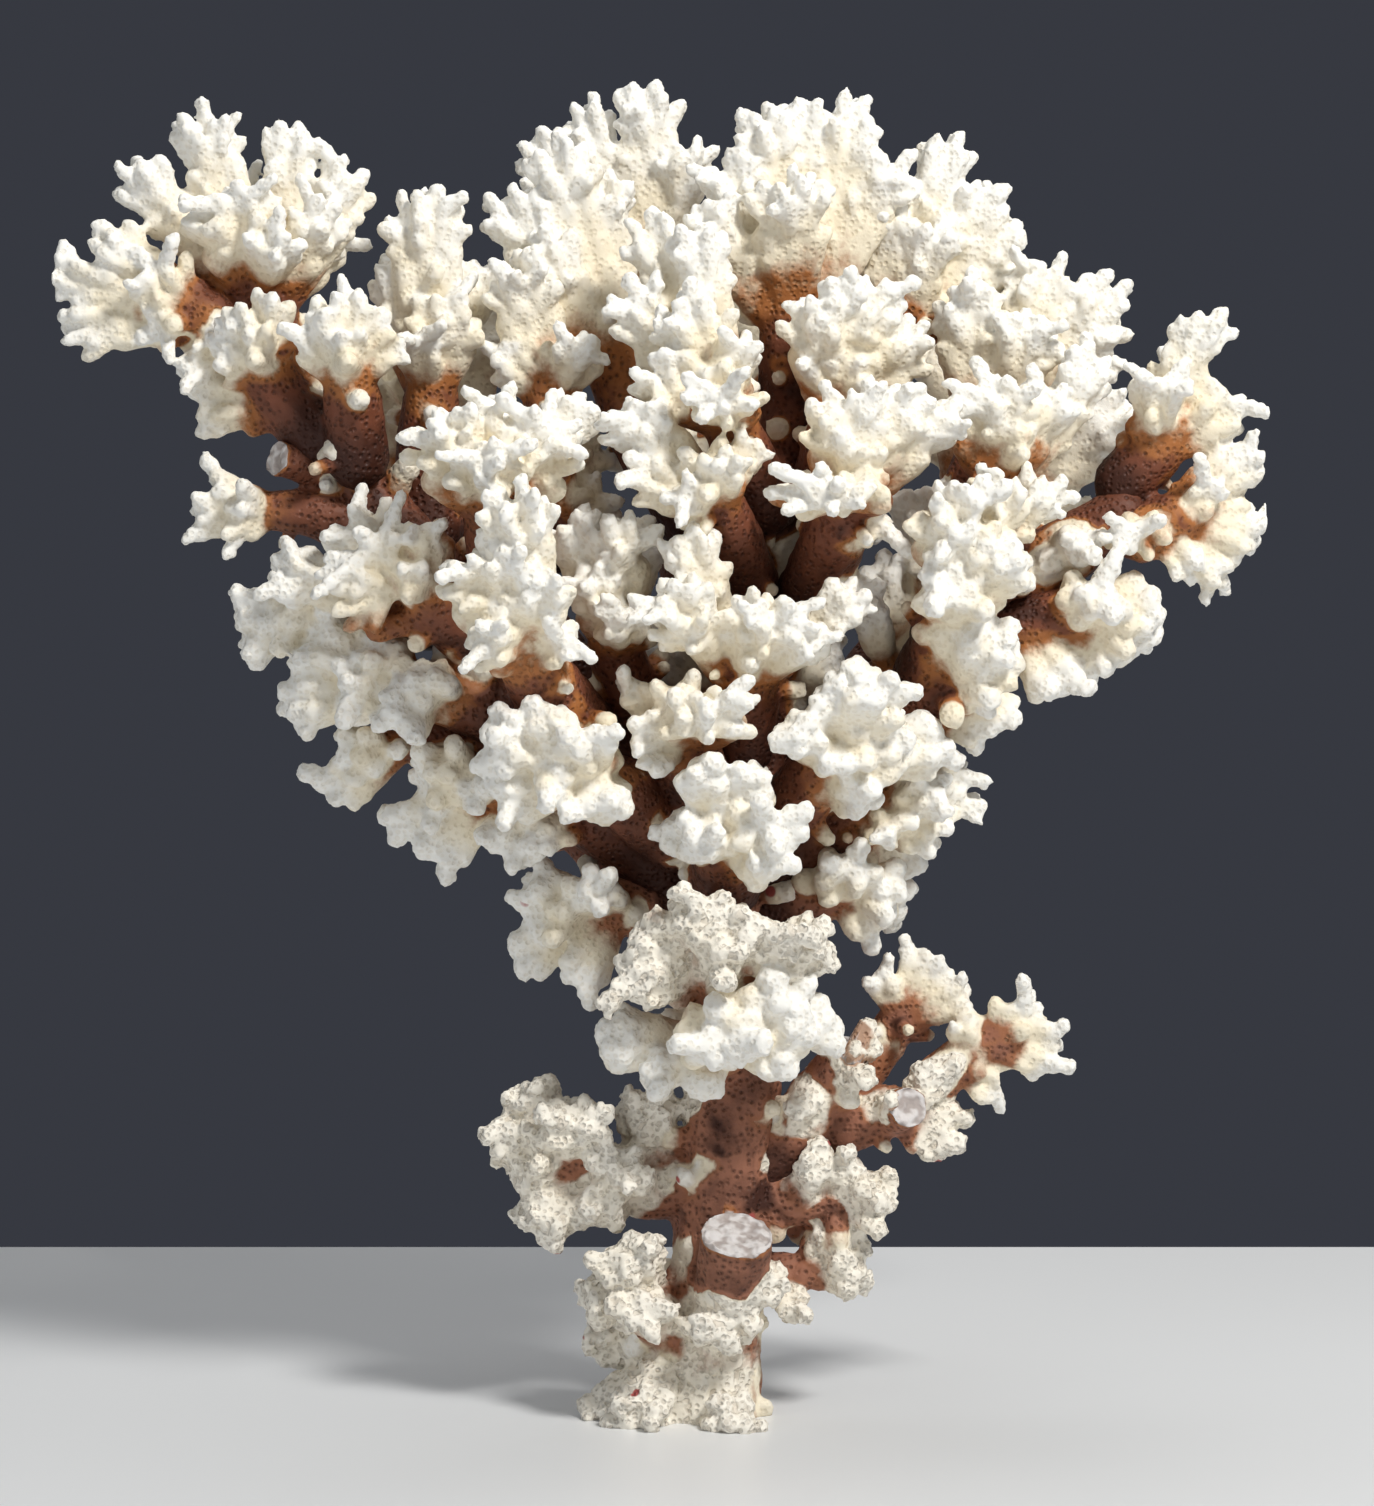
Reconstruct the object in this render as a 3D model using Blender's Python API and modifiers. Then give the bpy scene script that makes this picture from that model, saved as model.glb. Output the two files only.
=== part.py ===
"""Raspberry coral: a dried cauliflower-coral colony, cut flat at its foot and standing on the cut.

A short trunk forks into stems, each stem into limbs, and each limb ends in lobes. A lobe is a fan
of tapering fingers that grow from one neck. Every limb is a piece of its own, split at its fork.

The frame: +Z up, the foot's cut on Z = 0, and the broad front faces -Y.
"""

import math
import random

import bmesh
import bpy
from mathutils import Matrix, Vector

MM = 0.001

# How lobes grow, in millimetres. A share is of the lobe's own length from its root to its tip.
FINGER_SPACING = 6.6
ROOT_RADIUS = 4.1
NECK_SHARE = 0.3
CORE_SHARE = 0.72
CORE_THICKNESS = 0.36
TIP_REACH = 0.2
LEAN = 0.45
GOLDEN_ANGLE = math.radians(137.5)

# A lobe has one finger for each square of its face and for each step along its width. The first
# one stands this share of a finger off the middle, and each is turned and sized a little by chance.
FEWEST_FINGERS = 4
RIM_STEP = 6.0
FIRST_OUT = 0.6
TURN_CHANCE = 0.3
TIP_SIZES = (0.85, 1.1)

# A lobe that grows nearly towards the viewer has its flat side turned up instead.
LEAST_FACING = 0.5

# How the solids are made.
FORK_GAP = 0.45
FUSE_STEP = 1.35
TRIANGLE_GOAL = 6000
EASE_FACTOR = 0.5
EASE_ROUNDS = 3
CRUMB = 0.01
FLAT_ANGLE = math.radians(1.5)
TAPER_SIDES = 10
GROUND_SIDE = 300

# A habit is how the ends of a limb grew: the finger's radius at its neck and at its tip, how far
# the finger tips stagger, and how far the lobe's edge droops behind its crown.
HABITS = {
    "ragged": (3.1, 2.0, 2.4, 0.32),
    "blunt": (3.4, 2.7, 1.6, 0.26),
    "crusted": (3.3, 2.6, 1.5, 0.22),
}

# The finish of a limb with each habit, and of a bare stem: its colour, then its roughness.
FINISHES = {
    "ragged": ((0.84, 0.80, 0.72), 0.62),
    "blunt": ((0.76, 0.68, 0.54), 0.60),
    "crusted": ((0.70, 0.62, 0.50), 0.80),
    "stem": ((0.25, 0.09, 0.045), 0.66),
}
STEMS = ("trunk", "left_stem", "centre_stem", "right_stem")

# Places below are millimetres in the front view: x to the right of the trunk, z above the cut.
# Depth is negative towards the viewer. The viewer stands this far off and looks down this much,
# so a nearer point is drawn in towards the middle of the view, and a little up.
VIEW_DISTANCE = 1000.0
VIEW_DOWN = math.radians(6.0)
VIEW_MIDDLE = (-6.6, 134.4)

# Each limb: its habit, its stem from the fork outwards as (x, depth, z, radius), and its lobes as
# (x, depth, z, width, thickness), where the place is the middle of the lobe's outer edge.
LIMBS = {
    "trunk": (
        "crusted",
        [(-4, 1, -4, 13), (-3, 1, 12, 11.5), (0, 0, 32, 9.8), (2, 0, 50, 9.6), (3, 1, 72, 10),
         (2, 2, 92, 11), (0, 2, 110, 12)],
        [(4, -17, -1, 15, 12), (2, -17, 19, 17, 13), (12, -13, 28, 10, 9), (-9, 19, -1, 18, 13),
         (9, 17, -1, 16, 13), (-2, 19, 24, 15, 12)],
    ),
    "left_stem": (
        "blunt",
        [(-8, 4, 110, 9), (-26, 2, 132, 8.5), (-44, 0, 153, 8), (-62, 2, 176, 7.5), (-78, 3, 193, 7)],
        [(-75, -9, 197, 11, 9), (-66, 12, 168, 12, 10)],
    ),
    "centre_stem": (
        "blunt",
        [(2, 6, 110, 10), (6, 7, 136, 9), (10, 7, 162, 8.5), (13, 7, 188, 7.5), (14, 7, 210, 6.5)],
        [(20, -2, 172, 9, 8), (8, 18, 166, 12, 10), (30, 16, 181, 14, 12), (-10, 15, 190, 14, 12),
         (24, 13, 152, 14, 11), (-13, 14, 156, 14, 11)],
    ),
    "right_stem": (
        "blunt",
        [(8, 4, 112, 9), (24, 3, 134, 8.5), (42, 2, 154, 8), (62, 2, 170, 7.5), (80, 2, 182, 7)],
        [(28, -10, 166, 11, 9), (58, 14, 168, 12, 10), (39, 3, 187, 17, 12), (31, 5, 173, 14, 12),
         (72, -9, 176, 11, 9)],
    ),
    "foot_left_arm": (
        "crusted",
        [(-6, 0, 18, 7), (-14, -5, 22, 6.5), (-18, -7, 26, 6)],
        [(-18, -13, 35, 15, 13), (-28, -8, 23, 14, 11), (-15, -17, 20, 14, 12), (-17, -13, -2, 15, 13),
         (-23, -4, -1, 12, 11), (-25, 4, 14, 13, 11)],
    ),
    "foot_right_arm": (
        "crusted",
        [(6, 0, 28, 5.5), (14, -1, 29, 4.5), (22, -2, 30, 3.8)],
        [(22, -4, 37, 7, 7), (28, -3, 37, 8, 7), (29, -2, 27, 8, 7), (16, -7, 20, 10, 9)],
    ),
    "low_left_arm": (
        "crusted",
        [(-6, 2, 48, 7.5), (-15, 2, 47, 7), (-25, 0, 50, 6.5), (-33, -3, 55, 6)],
        [(-44, -6, 63, 22, 16), (-29, -12, 62, 18, 14), (-15, -2, 66, 15, 11), (-20, -11, 51, 16, 12),
         (-38, -6, 38, 17, 12), (-25, -9, 41, 14, 12), (-43, -4, 52, 14, 12), (-30, 12, 56, 16, 12)],
    ),
    "low_right_spur": (
        "crusted",
        [(8, 0, 44, 6.5), (18, -1, 45, 6), (26, -2, 45, 5)],
        [(31, -4, 46, 10, 8), (20, -10, 53, 9, 8), (27, -7, 52, 10, 8), (28, 8, 46, 12, 10)],
    ),
    "right_arm": (
        "crusted",
        [(8, 2, 52, 8), (16, 0, 58, 7), (21, -2, 66, 6.5), (24, -3, 71, 6.5)],
        [(17, -10, 64, 8, 7)],
    ),
    "right_arm_tip": (
        "crusted",
        [(24, 0, 59, 6), (33, 0, 62, 5.5), (41, 0, 62, 4.5)],
        [(37, -9, 63, 10, 9), (46, 0, 54, 10, 7), (43, -3, 70, 9, 8)],
    ),
    "antler_right": (
        "ragged",
        [(43, 2, 68, 5), (50, 2, 74, 4.6), (59, 0, 78, 4)],
        [(63, -2, 84, 14, 10), (69, 0, 77, 11, 8), (67, 0, 71, 9, 7), (57, 0, 65, 14, 8),
         (49, -2, 82, 10, 8)],
    ),
    "antler_left": (
        "ragged",
        [(27, 6, 68, 5), (33, 7, 76, 4.6), (38, 6, 85, 4)],
        [(40, 6, 97, 9, 8), (46, 6, 92, 8, 7), (51, 4, 87, 12, 8), (31, 4, 90, 11, 8)],
    ),
    "front_shelf": (
        "crusted",
        [(0, -8, 88, 8), (0, -17, 92, 8), (0, -23, 94, 7)],
        [(-19, -26, 93, 24, 11), (4, -32, 101, 36, 12), (22, -27, 97, 15, 9)],
    ),
    "front_shelf_low": (
        "blunt",
        [(0, -8, 76, 7), (1, -17, 79, 7), (2, -21, 80, 6)],
        [(15, -28, 84, 20, 12), (23, -21, 80, 13, 10), (0, -30, 75, 24, 14), (14, -26, 72, 13, 10),
         (-23, -15, 77, 15, 10), (-14, -20, 69, 11, 9), (-4, -20, 67, 10, 8)],
    ),
    "mid_left": (
        "blunt",
        [(-8, 2, 102, 7), (-18, 1, 104, 6.5), (-28, -1, 104, 5.5)],
        [(-37, -3, 109, 12, 9), (-25, -14, 107, 14, 10), (-38, -2, 101, 12, 9), (-41, 0, 93, 13, 8),
         (-29, -5, 88, 13, 9), (-32, 10, 98, 14, 10)],
    ),
    "mid_right": (
        "blunt",
        [(8, 2, 102, 7), (20, 0, 106, 6), (28, -2, 107, 5)],
        [(35, -4, 105, 12, 8), (32, -3, 98, 11, 8), (26, -13, 112, 15, 12), (36, 8, 104, 14, 10)],
    ),
    "centre_low": (
        "blunt",
        [(1, -8, 108, 7.5), (2, -16, 115, 7), (3, -22, 120, 6)],
        [(-4, -31, 117, 15, 12), (-12, -25, 119, 10, 9), (12, -32, 121, 17, 13), (10, -30, 112, 15, 9),
         (-3, -33, 132, 13, 9), (7, -32, 131, 11, 8)],
    ),
    "right_low": (
        "ragged",
        [(10, 2, 112, 8), (24, -2, 120, 7), (38, -5, 126, 6)],
        [(43, -14, 128, 15, 10), (53, -6, 125, 10, 8), (44, -8, 115, 14, 9), (36, -16, 118, 13, 10),
         (49, -5, 132, 12, 8), (42, 10, 126, 16, 10)],
    ),
    "right_low_front": (
        "blunt",
        [(12, -6, 122, 7), (19, -14, 129, 6.5), (25, -20, 136, 6)],
        [(36, -26, 139, 22, 13), (27, -29, 132, 15, 10), (16, -32, 140, 13, 12), (21, -30, 147, 10, 9),
         (32, -33, 150, 20, 13), (45, -18, 137, 15, 10), (30, -24, 125, 14, 11)],
    ),
    "left_low": (
        "blunt",
        [(-10, 2, 112, 8), (-26, -3, 122, 7), (-42, -5, 128, 6.5), (-51, -6, 130, 6)],
        [(-59, -8, 126, 20, 13), (-66, -4, 120, 11, 8), (-58, -4, 114, 13, 9), (-50, -16, 127, 13, 12),
         (-44, -10, 115, 14, 10), (-37, -13, 115, 11, 9), (-54, 10, 126, 16, 10)],
    ),
    "left_low_outer": (
        "blunt",
        [(-47, -1, 136, 6), (-58, -1, 138, 5), (-68, -1, 136, 4.5)],
        [(-79, -2, 127, 14, 9), (-72, -5, 132, 12, 9)],
    ),
    "centre_low_left": (
        "blunt",
        [(-9, -4, 118, 8), (-20, -14, 127, 7), (-31, -23, 133, 6.5)],
        [(-46, -30, 137, 17, 13), (-28, -36, 138, 19, 11), (-37, -34, 143, 10, 9), (-34, -34, 128, 11, 10),
         (-24, -32, 123, 17, 12), (-44, -26, 124, 12, 10)],
    ),
    "centre": (
        "ragged",
        [(-3, -6, 124, 8), (-6, -14, 134, 7), (-8, -22, 142, 6)],
        [(-18, -30, 139, 11, 10), (-15, -28, 131, 10, 9), (0, -40, 145, 24, 15), (-21, -22, 149, 10, 9)],
    ),
    "left_mid": (
        "blunt",
        [(-40, -6, 141, 7), (-54, -8, 146, 6.5), (-67, -8, 148, 6)],
        [(-82, -8, 158, 19, 12), (-87, -6, 145, 18, 12), (-75, -15, 146, 15, 12), (-60, -20, 149, 16, 11),
         (-65, -20, 141, 15, 10), (-70, -12, 157, 14, 10), (-78, 8, 148, 16, 11)],
    ),
    "left_outer": (
        "blunt",
        [(-58, -1, 160, 5.5), (-70, -2, 163, 5), (-82, -3, 162, 4.5)],
        [(-96, -4, 159, 18, 9), (-88, -5, 165, 10, 8)],
    ),
    "left_upper_outer": (
        "ragged",
        [(-70, 0, 178, 5.5), (-80, -1, 182, 5), (-92, -1, 183, 4.5)],
        [(-107, -2, 182, 12, 8), (-102, 0, 189, 9, 7), (-98, -3, 178, 11, 8)],
    ),
    "left_front": (
        "ragged",
        [(-48, -8, 156, 6.5), (-56, -14, 163, 6), (-60, -18, 168, 6)],
        [(-74, -24, 176, 34, 11), (-91, -12, 172, 14, 10), (-76, -15, 183, 20, 9), (-60, -24, 181, 12, 9)],
    ),
    "centre_front": (
        "ragged",
        [(-24, -10, 134, 8), (-34, -22, 146, 7.5), (-42, -32, 160, 7)],
        [(-48, -44, 177, 28, 16), (-41, -46, 188, 18, 13), (-49, -45, 158, 19, 11), (-30, -37, 158, 17, 12),
         (-34, -44, 170, 14, 11)],
    ),
    "centre_upper": (
        "ragged",
        [(-42, -10, 164, 7.5), (-44, -20, 178, 7), (-45, -27, 188, 7)],
        [(-56, -34, 204, 27, 13), (-33, -34, 202, 25, 13), (-26, -22, 207, 13, 10), (-47, -40, 196, 22, 13),
         (-44, -26, 207, 18, 10)],
    ),
    "left_fan_outer": (
        "ragged",
        [(-80, 0, 197, 6.5), (-88, -1, 206, 6), (-91, -4, 213, 5.5)],
        [(-106, 1, 204, 17, 9), (-93, -11, 227, 17, 9), (-101, -7, 215, 13, 9)],
    ),
    "left_fan_inner": (
        "ragged",
        [(-72, -4, 193, 6.5), (-73, -8, 204, 6), (-74, -11, 212, 6)],
        [(-74, -15, 227, 22, 11), (-83, -13, 220, 12, 9), (-64, -12, 217, 12, 9)],
    ),
    "left_crown": (
        "ragged",
        [(-84, 6, 204, 7), (-90, 6, 220, 6.5), (-92, 5, 232, 6)],
        [(-104, 6, 262, 17, 11), (-118, 4, 252, 14, 10), (-98, -6, 247, 24, 13), (-84, 8, 260, 14, 9),
         (-71, 8, 252, 17, 11), (-77, -1, 244, 17, 12), (-88, -9, 237, 13, 10), (-96, 18, 250, 18, 12),
         (-74, 18, 240, 16, 11)],
    ),
    "left_crown_outer": (
        "ragged",
        [(-92, 4, 214, 6.5), (-102, 2, 221, 6), (-110, 1, 225, 5.5)],
        [(-125, 0, 238, 15, 10), (-133, 0, 231, 12, 8), (-132, 1, 219, 16, 8), (-113, -5, 231, 18, 10),
         (-112, -3, 217, 15, 10), (-106, -2, 210, 14, 9)],
    ),
    "upper_left": (
        "ragged",
        [(-58, 6, 178, 7), (-58, 8, 196, 6.5), (-57, 8, 212, 6)],
        [(-58, 6, 247, 20, 12), (-53, 1, 227, 19, 12), (-66, 10, 233, 13, 10), (-45, 14, 233, 13, 10),
         (-60, -2, 218, 12, 10), (-64, 20, 226, 16, 11)],
    ),
    "upper_middle": (
        "ragged",
        [(-34, 4, 176, 6.5), (-34, 5, 194, 6), (-34, 4, 210, 6)],
        [(-40, 4, 234, 19, 13), (-27, -5, 217, 15, 9), (-44, 2, 214, 11, 9), (-22, 13, 196, 14, 11),
         (-21, 6, 187, 14, 12)],
    ),
    "top_left": (
        "ragged",
        [(-4, 9, 178, 7), (-16, 11, 198, 6.5), (-24, 12, 216, 6)],
        [(-44, 11, 247, 18, 10), (-34, 10, 256, 18, 12), (-24, 12, 251, 14, 10), (-37, 4, 238, 16, 10)],
    ),
    "top_left_back": (
        "ragged",
        [(-4, 20, 184, 6.5), (-10, 22, 206, 6.5), (-14, 23, 226, 6)],
        [(-27, 25, 264, 16, 12), (-15, 24, 268, 17, 12), (-6, 22, 256, 14, 11), (-39, 26, 258, 12, 9),
         (-16, 36, 252, 22, 12)],
    ),
    "top_centre": (
        "ragged",
        [(14, 7, 206, 6.5), (14, 6, 216, 6.5), (14, 5, 228, 6.5)],
        [(0, 4, 253, 17, 10), (9, 5, 264, 15, 11), (17, 8, 265, 13, 11), (27, 8, 265, 17, 12),
         (36, 6, 254, 15, 9), (-5, -3, 243, 17, 9), (14, -6, 250, 20, 13), (18, 18, 256, 22, 12)],
    ),
    "top_right": (
        "ragged",
        [(20, 10, 188, 7), (30, 12, 206, 6.5), (38, 12, 222, 6)],
        [(46, 12, 258, 15, 10), (54, 12, 249, 13, 10), (59, 12, 242, 13, 9), (60, 12, 234, 12, 8),
         (34, 8, 244, 14, 9), (44, 4, 240, 14, 10), (50, 24, 246, 20, 12)],
    ),
    "centre_fan": (
        "ragged",
        [(9, -3, 184, 6.5), (4, -12, 195, 6), (-1, -18, 206, 6)],
        [(-16, -6, 242, 16, 9), (-20, -12, 227, 17, 9), (-8, -22, 227, 19, 13), (5, -24, 218, 12, 9),
         (0, -34, 206, 19, 13), (-17, -23, 213, 18, 10), (-6, -12, 240, 14, 9)],
    ),
    "centre_fan_low": (
        "ragged",
        [(6, -4, 168, 6), (2, -14, 178, 6), (-2, -22, 188, 6)],
        [(-20, -26, 204, 18, 10), (-20, -28, 192, 15, 9), (-9, -31, 185, 14, 9), (2, -35, 194, 13, 9),
         (7, -24, 198, 11, 9)],
    ),
    "right_centre": (
        "ragged",
        [(20, 0, 186, 6.5), (23, -4, 197, 6.5), (26, -7, 207, 6)],
        [(20, -15, 227, 22, 13), (31, -13, 229, 18, 11), (40, -8, 222, 18, 12), (18, -12, 213, 12, 9)],
    ),
    "right_centre_front": (
        "ragged",
        [(18, -4, 166, 7), (23, -14, 178, 6.5), (27, -22, 190, 6)],
        [(24, -28, 206, 20, 12), (36, -26, 208, 20, 13), (20, -37, 187, 28, 13), (46, -22, 205, 16, 11),
         (34, -18, 180, 12, 10)],
    ),
    "right_upper": (
        "ragged",
        [(44, 6, 166, 7), (50, 5, 186, 6.5), (56, 4, 204, 6)],
        [(48, -1, 229, 18, 12), (66, 7, 233, 18, 12), (62, -3, 222, 18, 12), (79, 8, 228, 18, 12),
         (56, 18, 230, 20, 12), (76, 20, 220, 20, 12)],
    ),
    "right_upper_front": (
        "ragged",
        [(50, -2, 172, 6), (54, -8, 184, 6), (57, -11, 194, 5.5)],
        [(55, -18, 209, 24, 13), (67, -12, 208, 16, 12), (76, -6, 214, 15, 11)],
    ),
    "far_right": (
        "ragged",
        [(80, 4, 188, 6), (86, 3, 194, 6), (90, 2, 200, 5.5)],
        [(88, -8, 210, 18, 11), (98, 0, 223, 13, 9), (105, 0, 206, 16, 9), (92, 2, 216, 13, 9),
         (92, 16, 210, 18, 11)],
    ),
    "far_right_low": (
        "ragged",
        [(84, 0, 178, 6), (90, 0, 181, 5.5), (96, 1, 183, 5)],
        [(107, 2, 195, 16, 9), (109, 2, 177, 14, 8), (102, 2, 167, 12, 8), (95, -2, 170, 13, 9),
         (82, -12, 178, 17, 12), (98, -5, 189, 13, 9), (98, 14, 184, 16, 10)],
    ),
    "right_mid": (
        "ragged",
        [(44, -6, 158, 6.5), (48, -13, 166, 6.5), (52, -18, 174, 6)],
        [(46, -31, 187, 25, 12), (45, -31, 178, 12, 9), (58, -24, 191, 14, 9), (67, -15, 190, 15, 12)],
    ),
    "right_mid_front": (
        "blunt",
        [(40, -8, 150, 6), (45, -15, 158, 6), (49, -20, 165, 5.5)],
        [(57, -29, 177, 20, 12), (45, -29, 168, 19, 11)],
    ),
    "right_lower_outer": (
        "blunt",
        [(60, -3, 160, 6), (68, -4, 162, 5.5), (76, -4, 161, 5)],
        [(76, -13, 167, 16, 12), (87, -4, 164, 15, 10), (83, -2, 156, 13, 9), (76, -4, 150, 15, 10),
         (69, -9, 147, 15, 11), (80, 10, 158, 16, 10)],
    ),
    "right_lower_inner": (
        "blunt",
        [(34, -4, 138, 6.5), (42, -10, 145, 6.5), (49, -14, 149, 6)],
        [(56, -24, 159, 23, 12), (54, -15, 146, 13, 10), (54, -9, 138, 13, 10), (60, -8, 142, 12, 9)],
    ),
    "centre_mid": (
        "ragged",
        [(4, -8, 136, 7), (5, -16, 146, 7), (5, -22, 154, 6.5)],
        [(12, -35, 165, 22, 14), (20, -33, 159, 13, 10), (-12, -36, 168, 20, 16), (28, -23, 167, 12, 10),
         (-8, -28, 181, 15, 10)],
    ),
    "centre_left": (
        "ragged",
        [(-14, 4, 134, 7), (-19, -4, 148, 6.5), (-22, -11, 160, 6)],
        [(-27, -22, 172, 15, 11), (-20, -22, 183, 17, 12), (-31, -18, 183, 14, 10),
         (-18, -24, 162, 13, 10), (-16, -6, 176, 14, 11)],
    ),
    "back_left": (
        "ragged",
        [(-14, 14, 128, 8.5), (-34, 24, 154, 8), (-50, 30, 178, 7), (-60, 34, 198, 6.5)],
        [(-68, 42, 226, 26, 14), (-50, 48, 230, 24, 14), (-84, 30, 214, 22, 13), (-74, 44, 202, 22, 13),
         (-54, 52, 204, 22, 13), (-82, 32, 186, 20, 13), (-58, 46, 178, 20, 13), (-40, 42, 160, 18, 12)],
    ),
    "back_middle": (
        "ragged",
        [(0, 18, 130, 8.5), (-4, 30, 158, 8), (-6, 38, 184, 7), (-6, 42, 206, 6.5)],
        [(-10, 52, 242, 26, 15), (8, 50, 238, 24, 14), (-26, 48, 230, 24, 14), (4, 58, 216, 24, 15),
         (-18, 58, 206, 24, 14), (-4, 58, 186, 22, 14), (12, 50, 176, 20, 13), (-12, 46, 160, 18, 13)],
    ),
    "back_right": (
        "ragged",
        [(14, 14, 126, 8.5), (32, 24, 150, 8), (48, 30, 172, 7), (58, 33, 192, 6.5)],
        [(66, 40, 220, 26, 14), (46, 46, 226, 24, 14), (82, 30, 204, 22, 13), (66, 46, 198, 22, 13),
         (48, 52, 200, 22, 14), (78, 32, 178, 20, 13), (54, 44, 174, 20, 13), (38, 42, 156, 18, 12)],
    ),
    "back_low_left": (
        "blunt",
        [(-8, 12, 100, 8), (-20, 20, 112, 7), (-32, 26, 124, 6.5)],
        [(-48, 26, 134, 18, 12), (-36, 36, 136, 18, 12), (-42, 28, 118, 16, 12), (-24, 34, 118, 16, 12),
         (-24, 28, 102, 14, 10)],
    ),
    "back_low_right": (
        "blunt",
        [(8, 12, 96, 8), (18, 20, 108, 7), (28, 26, 118, 6.5)],
        [(44, 26, 130, 18, 12), (32, 36, 132, 18, 12), (40, 26, 114, 16, 12), (20, 34, 114, 16, 12),
         (18, 28, 96, 14, 10)],
    ),
}

# Where a branch broke off, its stub ends in a flat face: foot of the stub, face and radius.
STUBS = {
    "trunk": [((2, -10, 24), (3.5, -17, 37), 7.4)],
    "right_arm": [((22, -3, 66), (26, -6, 75), 5.2)],
    "right_arm_tip": [((34, -2, 61), (38, -9, 63), 4.2)],
    "left_stem": [((-78, 2, 190), (-88, -5, 193), 3.6)],
}


def front_view(x, depth, z):
    """The place in metres of what the front view shows at x and z, at that depth."""
    nearness = 1 + depth / VIEW_DISTANCE
    across = VIEW_MIDDLE[0] + (x - VIEW_MIDDLE[0]) * nearness
    rise = (z - VIEW_MIDDLE[1]) * nearness - depth * math.sin(VIEW_DOWN)
    return Vector((across, depth, VIEW_MIDDLE[1] + rise / math.cos(VIEW_DOWN))) * MM


def closest_on_stem(stem, place):
    """How far a place is from a stem's line, and how far along the stem its nearest point is."""
    best = None
    walked = 0.0
    for start, end in zip(stem, stem[1:]):
        run = end - start
        share = max(0.0, min(1.0, (place - start).dot(run) / run.length_squared))
        point = start + run * share
        gap = (place - point).length
        if best is None or gap < best[0]:
            best = (gap, walked + run.length * share)
        walked += run.length
    return best


def point_along(stem, distance):
    """The point that far along a stem's line, held to its two ends."""
    distance = max(0.0, distance)
    for start, end in zip(stem, stem[1:]):
        run = end - start
        if distance <= run.length:
            return start + run * (distance / run.length)
        distance -= run.length
    return stem[-1].copy()


def lobe_root(stem, tip):
    """Where a lobe leaves its stem: lower than the nearest point, because branches lean outwards."""
    gap, along = closest_on_stem(stem, tip)
    return point_along(stem, along - LEAN * gap)


def lobe_axes(root, tip):
    """The lobe's own axes: the way it grows, the way its fan is broad, and the fan's flat side."""
    grows = (tip - root).normalized()
    viewer = Vector((0, -1, 0))
    flat = viewer - grows * viewer.dot(grows)
    if flat.length < LEAST_FACING:
        flat = Vector((0, 0, 1)) - grows * grows.z
    flat.normalize()
    return grows, grows.cross(flat), flat


def lobe_fingers(root, tip, width, thickness, habit, chance):
    """The tapering fingers of one lobe, as (start, radius, end, radius)."""
    neck_radius, tip_radius, stagger, droop = HABITS[habit]
    grows, broad, flat = lobe_axes(root, tip)
    length = (tip - root).length
    count = max(FEWEST_FINGERS, round(width * thickness / FINGER_SPACING**2 + width / RIM_STEP))
    neck = root + grows * length * NECK_SHARE
    core_end = root + grows * length * CORE_SHARE
    fingers = [(root, ROOT_RADIUS * MM, core_end, thickness * CORE_THICKNESS * MM)]
    for k in range(count):
        out = math.sqrt((k + FIRST_OUT) / count)
        turn = k * GOLDEN_ANGLE + chance.uniform(-TURN_CHANCE, TURN_CHANCE)
        aside = broad * math.cos(turn) * out * width / 2 * MM
        aside += flat * math.sin(turn) * out * thickness / 2 * MM
        back = out * out * width * droop + chance.uniform(0, stagger)
        end = tip + aside - grows * (back - TIP_REACH * tip_radius) * MM
        start = neck + aside * NECK_SHARE
        fingers.append((start, neck_radius * MM, end, tip_radius * chance.uniform(*TIP_SIZES) * MM))
    return fingers


def limb_pieces(name):
    """Everything one limb is fused from: its stem's lengths and its lobes' fingers."""
    habit, stem_rows, lobes = LIMBS[name]
    chance = random.Random(name)
    stem = [front_view(*row[:3]) for row in stem_rows]
    radii = [row[3] * MM for row in stem_rows]
    pieces = list(zip(stem, radii, stem[1:], radii[1:]))
    for x, depth, z, width, thickness in lobes:
        tip = front_view(x, depth, z)
        pieces += lobe_fingers(lobe_root(stem, tip), tip, width, thickness, habit, chance)
    return pieces


def add_taper(mesh, start, start_radius, end, end_radius, round_end=True):
    """One tapering round length with ball ends, added to a bmesh."""
    run = end - start
    turn = run.to_track_quat("Z", "Y").to_matrix().to_4x4()
    middle = Matrix.Translation((start + end) / 2) @ turn
    bmesh.ops.create_cone(mesh, cap_ends=True, segments=TAPER_SIDES, radius1=start_radius,
                          radius2=end_radius, depth=run.length, matrix=middle)
    balls = [(start, start_radius)] + ([(end, end_radius)] if round_end else [])
    for place, radius in balls:
        bmesh.ops.create_icosphere(mesh, subdivisions=2, radius=radius,
                                   matrix=Matrix.Translation(place))


def evaluated_mesh(thing):
    """A mesh object's shape with its modifiers done, as a new mesh."""
    graph = bpy.context.evaluated_depsgraph_get()
    return bpy.data.meshes.new_from_object(thing.evaluated_get(graph))


def settle(thing):
    """Makes an object's modifiers part of its mesh."""
    shape = evaluated_mesh(thing)
    thing.modifiers.clear()
    thing.data = shape


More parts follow.
